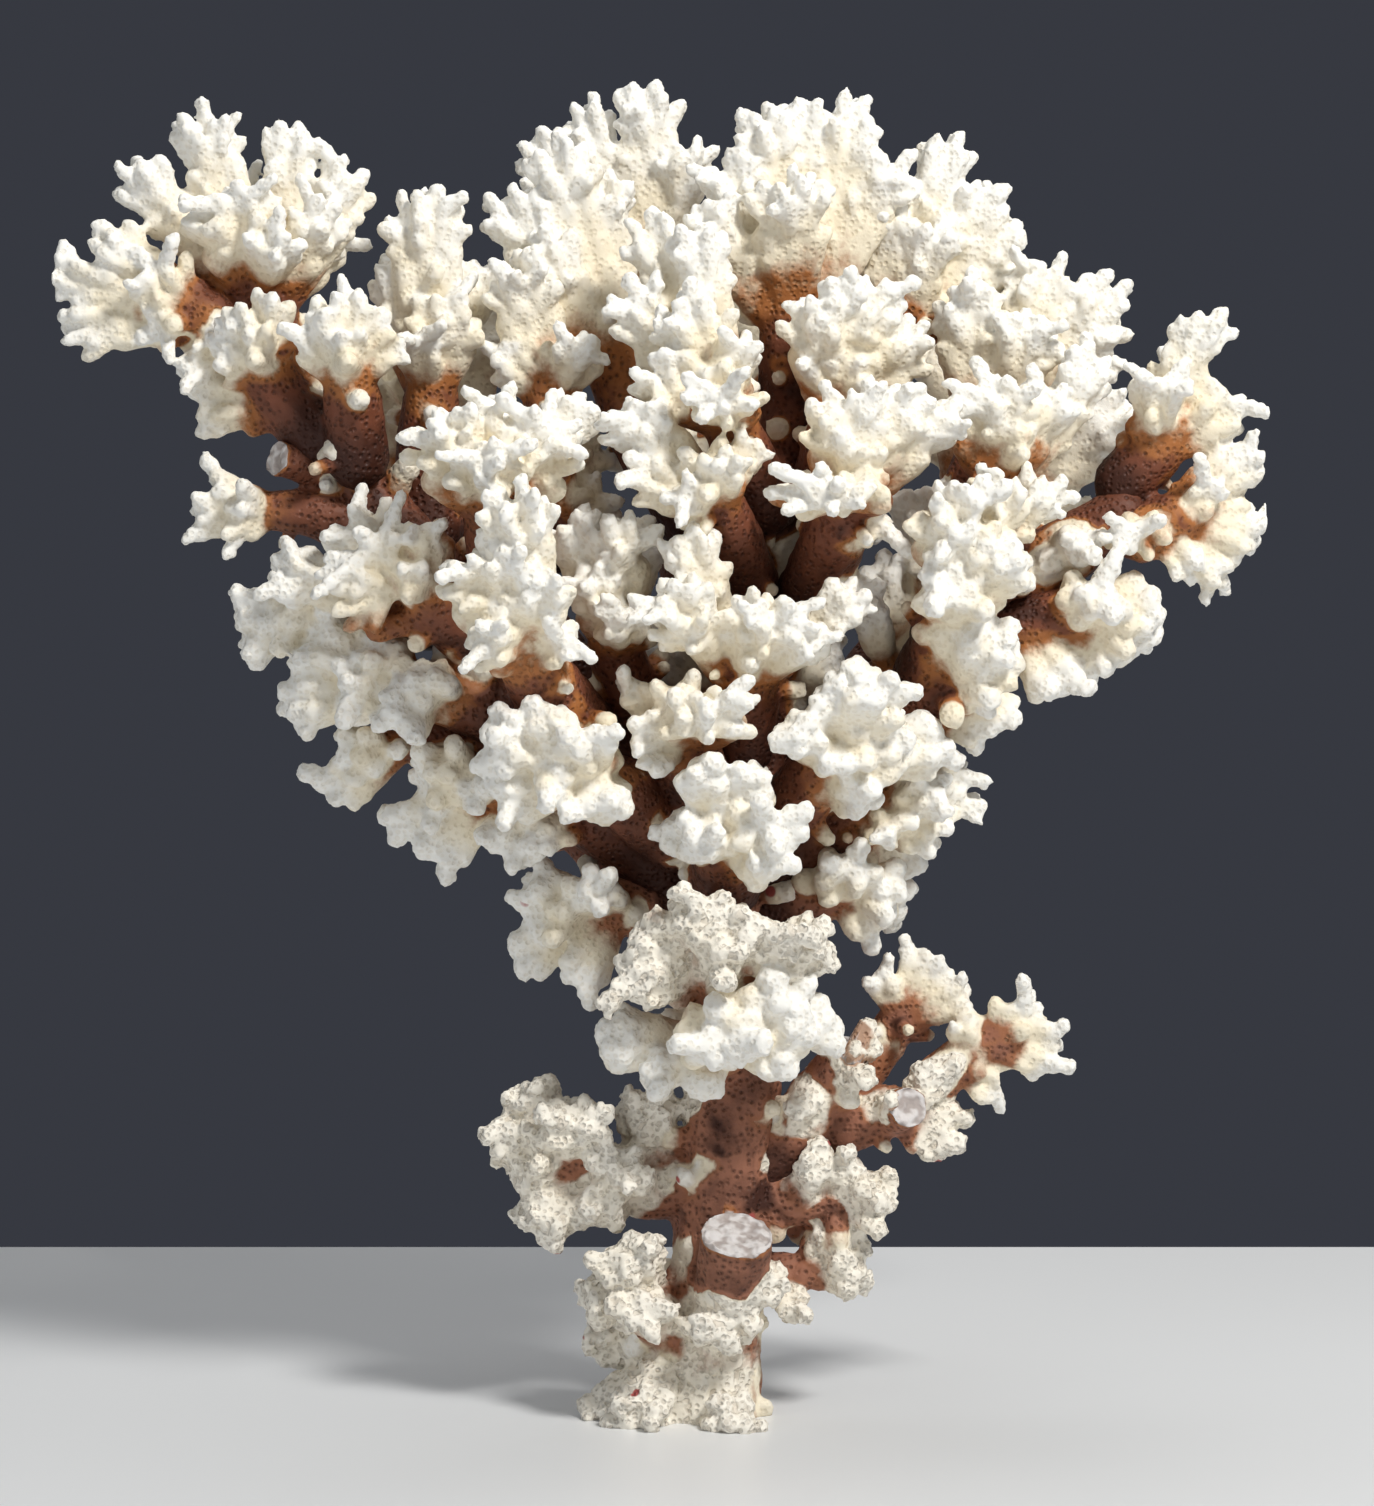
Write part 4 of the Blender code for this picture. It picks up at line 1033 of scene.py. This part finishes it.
def grow_piece(name, templates, sizes):
    """Grows one group of limbs into a finished piece, hangs it on the root body and hides the CAD parts of
    its limbs.
    """
    limbs, slot_name, voxel = GROUPS[name]
    growth = Growth(templates)
    for limb in limbs:
        grow_limb(growth, sizes, limb)
    piece = growth.mesh_object(name)
    select_only(piece)
    apply_modifier(piece, "REMESH", mode="VOXEL", voxel_size=voxel * MM)
    apply_modifier(piece, "SMOOTH", factor=0.5, iterations=1)
    piece = drop_crumbs(piece, LEAST_CRUMB)
    piece.name = name
    points, _ = triangles_of(piece)
    mesh = piece.data
    count = len(points)
    edges = np.empty(len(mesh.edges) * 2, dtype=np.int64)
    mesh.edges.foreach_get("vertices", edges)
    edges = edges.reshape(-1, 2)
    known = evened(read_places(growth.samples, points), edges, count, 3)
    normals = np.empty(count * 3)
    mesh.vertex_normals.foreach_get("vector", normals)
    normals = normals.reshape(-1, 3)
    relief = np.array([surface_relief(Vector(point), out, worn, sizes)
                       for point, (out, worn) in zip(points, known)])
    points += normals * relief[:, None]
    broken = break_off(points, limbs)
    points = held_in_box(points)
    mesh.vertices.foreach_set("co", points.astype(np.float32).ravel())
    keep_value(mesh, "growth", known[:, 0])
    keep_value(mesh, "wear", known[:, 1])
    keep_value(mesh, "broken", evened(broken[:, None], edges, count, 1)[:, 0])
    mesh.update()
    select_only(piece)
    apply_modifier(piece, "DECIMATE", ratio=KEPT_SHARE, use_collapse_triangulate=True)
    cut_foot(piece)
    select_only(piece)
    bpy.ops.object.shade_smooth()
    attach(piece, "root")
    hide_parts(*limbs)
    return piece


def put_node(tree, kind, place, **values):
    """Adds a shader node at a place in the editor, with these values on it or on its sockets."""
    node = tree.nodes.new(kind)
    node.location = place
    for name, value in values.items():
        if hasattr(node, name):
            setattr(node, name, value)
        else:
            node.inputs[name.replace("_", " ")].default_value = value
    return node


def group_sockets(group, ins, outs):
    """Gives a node group its named inputs and outputs."""
    for name, kind, value in ins:
        socket = group.interface.new_socket(name, in_out="INPUT", socket_type=kind)
        socket.default_value = value
    for name, kind in outs:
        group.interface.new_socket(name, in_out="OUTPUT", socket_type=kind)
    return group.nodes.new("NodeGroupInput"), group.nodes.new("NodeGroupOutput")


def remap(tree, value, low, high, place, to_low=0.0, to_high=1.0):
    """A smooth step of a value between two limits."""
    node = put_node(tree, "ShaderNodeMapRange", place, interpolation_type="SMOOTHSTEP")
    node.inputs["From Min"].default_value = low
    node.inputs["From Max"].default_value = high
    node.inputs["To Min"].default_value = to_low
    node.inputs["To Max"].default_value = to_high
    tree.links.new(value, node.inputs["Value"])
    return node.outputs["Result"]


def blend(tree, amount, first, second, place):
    """Mixes two colours by an amount."""
    node = put_node(tree, "ShaderNodeMix", place, data_type="RGBA")
    tree.links.new(amount, node.inputs["Factor"])
    for value, socket in ((first, node.inputs[6]), (second, node.inputs[7])):
        if isinstance(value, tuple):
            socket.default_value = (*value, 1)
        else:
            tree.links.new(value, socket)
    return node.outputs[2]


def sum_of(tree, operation, first, second, place):
    """One sum on two values, each a socket or a number."""
    node = put_node(tree, "ShaderNodeMath", place, operation=operation)
    for value, socket in ((first, node.inputs[0]), (second, node.inputs[1])):
        if isinstance(value, (int, float)):
            socket.default_value = value
        else:
            tree.links.new(value, socket)
    return node.outputs[0]


def noise_of(tree, places, place, scale, detail, roughness):
    """A noise on the piece's own coordinates."""
    node = put_node(tree, "ShaderNodeTexNoise", place, Scale=scale, Detail=detail, Roughness=roughness)
    tree.links.new(places.outputs["Object"], node.inputs["Vector"])
    return node.outputs["Fac"]


def build_pore_group():
    """Honeycomb pores: masks of the narrow pits and of their wider cells, and the walls' height."""
    group = bpy.data.node_groups.new("Coral Pores", "ShaderNodeTree")
    into, out = group_sockets(
        group,
        [("Pores per Metre", "NodeSocketFloat", PORES_PER_METRE), ("Jitter", "NodeSocketFloat", 0.75)],
        [("Pit", "NodeSocketFloat"), ("Cell", "NodeSocketFloat"), ("Height", "NodeSocketFloat")])
    into.location, out.location = (-700, 0), (500, 0)
    places = put_node(group, "ShaderNodeTexCoord", (-700, 200))
    cells = put_node(group, "ShaderNodeTexVoronoi", (-450, 100), feature="F1")
    group.links.new(places.outputs["Object"], cells.inputs["Vector"])
    group.links.new(into.outputs["Pores per Metre"], cells.inputs["Scale"])
    group.links.new(into.outputs["Jitter"], cells.inputs["Randomness"])
    pit = remap(group, cells.outputs["Distance"], 0.13, 0.31, (-150, 300), 1.0, 0.0)
    cell = remap(group, cells.outputs["Distance"], 0.34, 0.54, (-150, 50), 1.0, 0.0)
    wall = remap(group, cells.outputs["Distance"], 0.12, 0.52, (-150, -200))
    group.links.new(pit, out.inputs["Pit"])
    group.links.new(cell, out.inputs["Cell"])
    group.links.new(wall, out.inputs["Height"])
    return group


def build_growth_group(colours):
    """The skeleton's colour from the brown of a stem, with painted shade deep in the colony, by amber, to a
    white tip.
    """
    group = bpy.data.node_groups.new("Coral Growth Colour", "ShaderNodeTree")
    into, out = group_sockets(
        group,
        [(label, "NodeSocketColor", (*colour, 1)) for label, colour in (
            ("Stem", colours.stem), ("Deep Stem and Painted Shade", colours.shade), ("Amber", colours.amber),
            ("Cream", colours.cream), ("White", colours.white))],
        [("Color", "NodeSocketColor"), ("Brown", "NodeSocketFloat")])
    into.location, out.location = (-1000, 0), (900, 0)
    growth = put_node(group, "ShaderNodeAttribute", (-1000, 300), attribute_name="growth")
    places = put_node(group, "ShaderNodeTexCoord", (-1200, 500))
    streaks = noise_of(group, places, (-1000, 500), STREAKS_PER_METRE, 5.0, 0.62)
    wander = sum_of(group, "SUBTRACT", streaks, 0.5, (-800, 500))
    level = sum_of(group, "ADD", growth.outputs["Fac"], wander, (-500, 400))
    # Painted shade: the lowest levels, deep in the colony, blend the stem's brown towards the near-black
    # deep stem colour.
    deep = remap(group, level, -0.75, -0.25, (-350, 500))
    brown = blend(group, deep, into.outputs["Deep Stem and Painted Shade"], into.outputs["Stem"], (-150, 500))
    to_amber = remap(group, level, -0.22, 0.08, (-350, 250))
    to_cream = remap(group, level, 0.10, 0.40, (-350, 0))
    to_white = remap(group, level, 0.40, 0.95, (-350, -250))
    stained = blend(group, to_amber, brown, into.outputs["Amber"], (50, 400))
    creamy = blend(group, to_cream, stained, into.outputs["Cream"], (250, 300))
    pale = blend(group, to_white, creamy, into.outputs["White"], (450, 200))
    group.links.new(pale, out.inputs["Color"])
    browned = remap(group, level, 0.0, 0.3, (450, -100), 1.0, 0.0)
    group.links.new(browned, out.inputs["Brown"])
    return group


def greater(tree, first, second, place):
    return sum_of(tree, "MAXIMUM", first, second, place)


def build_material(name, pores, growth, colours, crusting, roughness, dusty, specks):
    """One finish of the skeleton.

    crusting is how much more worn than its mesh says it looks, dusty is how pale its browns are,
    and specks says whether small red specks of crust grow on it.
    """
    material = bpy.data.materials.new(name)
    material.use_nodes = True
    tree = material.node_tree
    shader = tree.nodes["Principled BSDF"]
    shader.location = (1100, 0)
    pore = put_node(tree, "ShaderNodeGroup", (-1100, 200))
    pore.node_tree = pores
    skin = put_node(tree, "ShaderNodeGroup", (-1100, -100))
    skin.node_tree = growth
    stem = [a + (b - a) * dusty for a, b in zip(colours.stem, colours.dust)]
    skin.inputs["Stem"].default_value = (*stem, 1)
    amber = [a + (b - a) * dusty * DUSTY_AMBER for a, b in zip(colours.amber, colours.dust)]
    skin.inputs["Amber"].default_value = (*amber, 1)
    brown = skin.outputs["Brown"]
    wear = put_node(tree, "ShaderNodeAttribute", (-1100, -400), attribute_name="wear")
    broken = put_node(tree, "ShaderNodeAttribute", (-1100, -600), attribute_name="broken")
    places = put_node(tree, "ShaderNodeTexCoord", (-1300, -800))
    grit = noise_of(tree, places, (-1100, -800), GRIT_PER_METRE, 3.0, 0.7)
    holes = noise_of(tree, places, (-1100, -1000), HOLES_PER_METRE, 1.0, 0.5)

    # Worn, chalky skeleton shows where the mesh is worn and the skin isn't brown.
    ragged = sum_of(tree, "MULTIPLY", sum_of(tree, "SUBTRACT", grit, 0.5, (-900, -800)),
                    0.5, (-750, -800))
    worn = sum_of(tree, "ADD", sum_of(tree, "ADD", wear.outputs["Fac"], crusting, (-900, -400)),
                  ragged, (-750, -500))
    sound = sum_of(tree, "SUBTRACT", 1.0, brown, (-750, -300))
    worn = sum_of(tree, "MULTIPLY", remap(tree, worn, 0.35, 0.85, (-600, -500)), sound, (-450, -400))
    coloured = blend(tree, sum_of(tree, "MULTIPLY", worn, 0.8, (-300, -400)), skin.outputs["Color"],
                     tuple(colours.crust), (-150, 100))

    # Pits carry painted shade: near black on a stem, dark in worn crust, and only a little darker
    # on a sound lobe, where the whole cell shows. The worn holes below carry the same painted shade.
    strong = greater(tree, sum_of(tree, "MULTIPLY", brown, STEM_PIT, (-600, 400)),
                     sum_of(tree, "MULTIPLY", worn, WORN_PIT, (-600, 250)), (-450, 350))
    faint = sum_of(tree, "MULTIPLY", pore.outputs["Cell"], PALE_PIT, (-450, 500))
    opacity = greater(tree, sum_of(tree, "MULTIPLY", pore.outputs["Pit"], strong, (-300, 350)), faint,
                      (-150, 400))
    eaten = remap(tree, holes, 0.33, 0.43, (-900, -1000), 1.0, 0.0)
    eaten = sum_of(tree, "MULTIPLY", eaten, worn, (-750, -1000))
    opacity = greater(tree, opacity, sum_of(tree, "MULTIPLY", eaten, WORN_PIT, (-600, -1000)), (-50, 500))
    painted_pit_shade = blend(tree, brown, PALE_PIT_PAINTED_SHADE, tuple(colours.shade), (-450, 150))
    painted_pit_shade = blend(tree, worn, painted_pit_shade, WORN_PIT_PAINTED_SHADE, (-300, 150))
    pitted = blend(tree, opacity, coloured, painted_pit_shade, (50, 150))
    if specks:
        spots = put_node(tree, "ShaderNodeTexVoronoi", (-300, 700), feature="F1", Scale=SPECKS_PER_METRE)
        tree.links.new(places.outputs["Object"], spots.inputs["Vector"])
        speck = remap(tree, spots.outputs["Distance"], 0.05, 0.075, (-100, 700), 1.0, 0.0)
        pitted = blend(tree, speck, pitted, SPECK_COLOUR, (250, 400))

    # A broken face is bare white inside an amber rim.
    rim = remap(tree, broken.outputs["Fac"], 0.02, 0.4, (-900, -600))
    face = remap(tree, broken.outputs["Fac"], 0.5, 0.85, (-750, -650))
    rimmed = blend(tree, sum_of(tree, "MULTIPLY", rim, 0.7, (200, -100)), pitted, tuple(colours.amber),
                   (450, 100))
    bare = blend(tree, remap(tree, holes, 0.38, 0.6, (450, 400)), BREAK_SHADE, BREAK_COLOUR,
                 (600, 400))
    final = blend(tree, face, rimmed, bare, (700, 100))
    tree.links.new(final, shader.inputs["Base Color"])
    rough = remap(tree, grit, 0.2, 0.8, (700, -300), roughness - 0.12, roughness + 0.15)
    tree.links.new(rough, shader.inputs["Roughness"])

    depth = greater(tree, remap(tree, brown, 0.0, 1.0, (-100, -700), 0.4, 1.0), worn, (50, -700))
    depth = sum_of(tree, "MULTIPLY", depth, remap(tree, face, 0.0, 1.0, (50, -900), 1.0, 0.1), (200, -750))
    relief = sum_of(tree, "MULTIPLY", pore.outputs["Height"], depth, (350, -600))
    hollows = sum_of(tree, "MULTIPLY", eaten, HOLE_DEPTH, (350, -1000))
    relief = sum_of(tree, "SUBTRACT", relief, hollows, (450, -600))
    crags = sum_of(tree, "MULTIPLY", sum_of(tree, "MULTIPLY", holes, face, (200, -1100)),
                   3.0, (350, -1100))
    relief = sum_of(tree, "ADD", relief, crags, (500, -600))
    relief = sum_of(tree, "ADD", relief, sum_of(tree, "MULTIPLY", grit, 0.35, (350, -800)),
                    (550, -700))
    bump = put_node(tree, "ShaderNodeBump", (850, -500), Strength=0.9, Distance=PORE_DEPTH)
    tree.links.new(relief, bump.inputs["Height"])
    tree.links.new(bump.outputs["Normal"], shader.inputs["Normal"])
    shader.inputs["Metallic"].default_value = 0
    shader.inputs["Specular IOR Level"].default_value = 0.35
    return material


def coral_materials(context):
    """The finishes by slot, built once."""
    colours = context.scene.coral_colours
    if "Coral Pores" not in bpy.data.node_groups:
        pores = build_pore_group()
        growth = build_growth_group(colours)
        for slot_name, finish in FINISHES.items():
            build_material("coral " + slot_name, pores, growth, colours, *finish)
    return {slot_name: bpy.data.materials["coral " + slot_name] for slot_name in FINISHES}


def grow_group(context, name):
    """Grows one piece and gives it the finish of its slot."""
    materials = coral_materials(context)
    piece = grow_piece(name, model_templates(), context.scene.coral_growth)
    piece.data.materials.clear()
    piece.data.materials.append(materials[GROUPS[name][1]])


class GrowsPiece:
    """Shared by the operators that grow a piece. Each names its piece."""

    bl_options = {"REGISTER", "UNDO"}

    def execute(self, context):
        grow_group(context, self.piece)
        return {"FINISHED"}


class CORAL_OT_trunk_and_foot(GrowsPiece, bpy.types.Operator):
    """Grow the trunk, the broken foot and the worn arms beside it"""
    bl_idname = "coral.trunk_and_foot"
    bl_label = "Trunk and Foot"
    piece = "trunk_and_foot"


class CORAL_OT_right_arm(GrowsPiece, bpy.types.Operator):
    """Grow the low right arm with its two antlers"""
    bl_idname = "coral.right_arm"
    bl_label = "Right Arm"
    piece = "right_arm_branch"


class CORAL_OT_front_shelves(GrowsPiece, bpy.types.Operator):
    """Grow the worn plates in front of the trunk"""
    bl_idname = "coral.front_shelves"
    bl_label = "Front Shelves"
    piece = "front_shelves"


class CORAL_OT_low_branches(GrowsPiece, bpy.types.Operator):
    """Grow the rounded cream lobes above the plates"""
    bl_idname = "coral.low_branches"
    bl_label = "Low Branches"
    piece = "low_branches"


class CORAL_OT_left_branches(GrowsPiece, bpy.types.Operator):
    """Grow the left stem and its outer limbs"""
    bl_idname = "coral.left_branches"
    bl_label = "Left Branches"
    piece = "left_branches"


class CORAL_OT_left_crown(GrowsPiece, bpy.types.Operator):
    """Grow the white crown on the left stem"""
    bl_idname = "coral.left_crown"
    bl_label = "Left Crown"
    piece = "left_crown_branches"


class CORAL_OT_middle_branches(GrowsPiece, bpy.types.Operator):
    """Grow the limbs between the left stem and the centre stem"""
    bl_idname = "coral.middle_branches"
    bl_label = "Middle Branches"
    piece = "middle_branches"


class CORAL_OT_crown(GrowsPiece, bpy.types.Operator):
    """Grow the centre stem and the crown on it"""
    bl_idname = "coral.crown"
    bl_label = "Crown"
    piece = "crown_branches"


class CORAL_OT_right_crown(GrowsPiece, bpy.types.Operator):
    """Grow the right stem and the crown on it"""
    bl_idname = "coral.right_crown"
    bl_label = "Right Crown"
    piece = "right_crown_branches"


class CORAL_OT_right_branches(GrowsPiece, bpy.types.Operator):
    """Grow the outer limbs on the right"""
    bl_idname = "coral.right_branches"
    bl_label = "Right Branches"
    piece = "right_branches"


class CORAL_OT_back_branches(GrowsPiece, bpy.types.Operator):
    """Grow the limbs behind, which the front view doesn't show"""
    bl_idname = "coral.back_branches"
    bl_label = "Back Branches"
    piece = "back_branches"


def aimed(thing, place, target):
    """Puts a camera or a light at a place, looking at the target."""
    thing.location = place
    thing.rotation_euler = (Vector(target) - Vector(place)).to_track_quat("-Z", "Y").to_euler()


def add_light(name, place, target, size, power, colour):
    """A square soft light."""
    bpy.ops.object.light_add(type="AREA")
    light = bpy.context.object
    light.name = name
    light.data.shape = "SQUARE"
    light.data.size = size
    light.data.energy = power
    light.data.color = colour
    aimed(light, place, target)


def build_floor(studio):
    """The pale table, with its far edge behind the colony."""
    bpy.ops.object.select_all(action="DESELECT")
    bpy.ops.mesh.primitive_cube_add(size=1.0)
    table = bpy.context.object
    table.name = "table_top"
    bpy.ops.object.mode_set(mode="EDIT")
    bpy.ops.mesh.select_all(action="SELECT")
    bpy.ops.transform.resize(value=TABLE_SIZE)
    bpy.ops.transform.translate(value=(0, TABLE_BACK - TABLE_SIZE[1] / 2, -TABLE_SIZE[2] / 2))
    bpy.ops.object.mode_set(mode="OBJECT")
    material = bpy.data.materials.new("pale_table")
    material.use_nodes = True
    shader = material.node_tree.nodes["Principled BSDF"]
    shader.inputs["Base Color"].default_value = (*studio.floor_colour, 1)
    shader.inputs["Roughness"].default_value = 0.38
    table.data.materials.append(material)


def build_world(studio):
    """A dark room to the camera, and soft grey light to everything else."""
    world = bpy.data.worlds.new("studio")
    world.use_nodes = True
    tree = world.node_tree
    output = tree.nodes["World Output"]
    seen = tree.nodes["Background"]
    seen.inputs["Color"].default_value = (*studio.backdrop_colour, 1)
    glow = put_node(tree, "ShaderNodeBackground", (0, -200), Strength=AMBIENT_STRENGTH)
    glow.inputs["Color"].default_value = (*AMBIENT_COLOUR, 1)
    path = put_node(tree, "ShaderNodeLightPath", (-300, 200))
    choose = put_node(tree, "ShaderNodeMixShader", (200, 0))
    tree.links.new(path.outputs["Is Camera Ray"], choose.inputs["Fac"])
    tree.links.new(glow.outputs["Background"], choose.inputs[1])
    tree.links.new(seen.outputs["Background"], choose.inputs[2])
    tree.links.new(choose.outputs["Shader"], output.inputs["Surface"])
    bpy.context.scene.world = world


def build_camera(studio):
    """The camera at the picture's angle: square on to the front, and a little above it."""
    bpy.ops.object.camera_add()
    camera = bpy.context.object
    camera.name = "front_camera"
    target = Vector((VIEW_MIDDLE[0], 0, VIEW_MIDDLE[1])) * MM
    back = Vector((0, -math.cos(VIEW_DOWN), math.sin(VIEW_DOWN)))
    aimed(camera, target + back * VIEW_DISTANCE * MM, target)
    camera.data.sensor_width = 36.0
    camera.data.lens = camera.data.sensor_width * VIEW_DISTANCE * MM / studio.frame_height
    bpy.context.scene.camera = camera


class CORAL_OT_studio(bpy.types.Operator):
    """Set up the table, the light, the dark room and the camera"""
    bl_idname = "coral.studio"
    bl_label = "Studio"
    bl_options = {"REGISTER", "UNDO"}

    def execute(self, context):
        studio = context.scene.coral_studio
        build_floor(studio)
        build_world(studio)
        for light in LIGHTS:
            add_light(*light)
        build_camera(studio)
        context.scene.view_settings.view_transform = "Standard"
        return {"FINISHED"}


OPERATORS = (CORAL_OT_trunk_and_foot, CORAL_OT_right_arm, CORAL_OT_front_shelves,
             CORAL_OT_low_branches, CORAL_OT_left_branches, CORAL_OT_left_crown,
             CORAL_OT_middle_branches, CORAL_OT_crown, CORAL_OT_right_crown,
             CORAL_OT_right_branches, CORAL_OT_back_branches, CORAL_OT_studio)


class CORAL_PT_panel(bpy.types.Panel):
    """Lists the sizes, the colours and the operators"""
    bl_idname = "CORAL_PT_panel"
    bl_label = "Raspberry Coral"
    bl_space_type = "VIEW_3D"
    bl_region_type = "UI"
    bl_category = "Coral"

    def draw(self, context):
        scene = context.scene
        for title, settings in (("Growth", scene.coral_growth), ("Colours", scene.coral_colours),
                                ("Studio", scene.coral_studio)):
            box = self.layout.box()
            box.label(text=title)
            for name in settings.__annotations__:
                box.prop(settings, name)
        for operator in OPERATORS:
            self.layout.operator(operator.bl_idname)


CLASSES = (CoralGrowth, CoralColours, CoralStudio, *OPERATORS, CORAL_PT_panel)


def register():
    for kind in CLASSES:
        bpy.utils.register_class(kind)
    bpy.types.Scene.coral_growth = bpy.props.PointerProperty(type=CoralGrowth)
    bpy.types.Scene.coral_colours = bpy.props.PointerProperty(type=CoralColours)
    bpy.types.Scene.coral_studio = bpy.props.PointerProperty(type=CoralStudio)


def unregister():
    del bpy.types.Scene.coral_growth
    del bpy.types.Scene.coral_colours
    del bpy.types.Scene.coral_studio
    for kind in reversed(CLASSES):
        bpy.utils.unregister_class(kind)


def main():
    register()
    for operator in OPERATORS:
        group, name = operator.bl_idname.split(".")
        getattr(getattr(bpy.ops, group), name)()


if __name__ == "__main__":
    main()
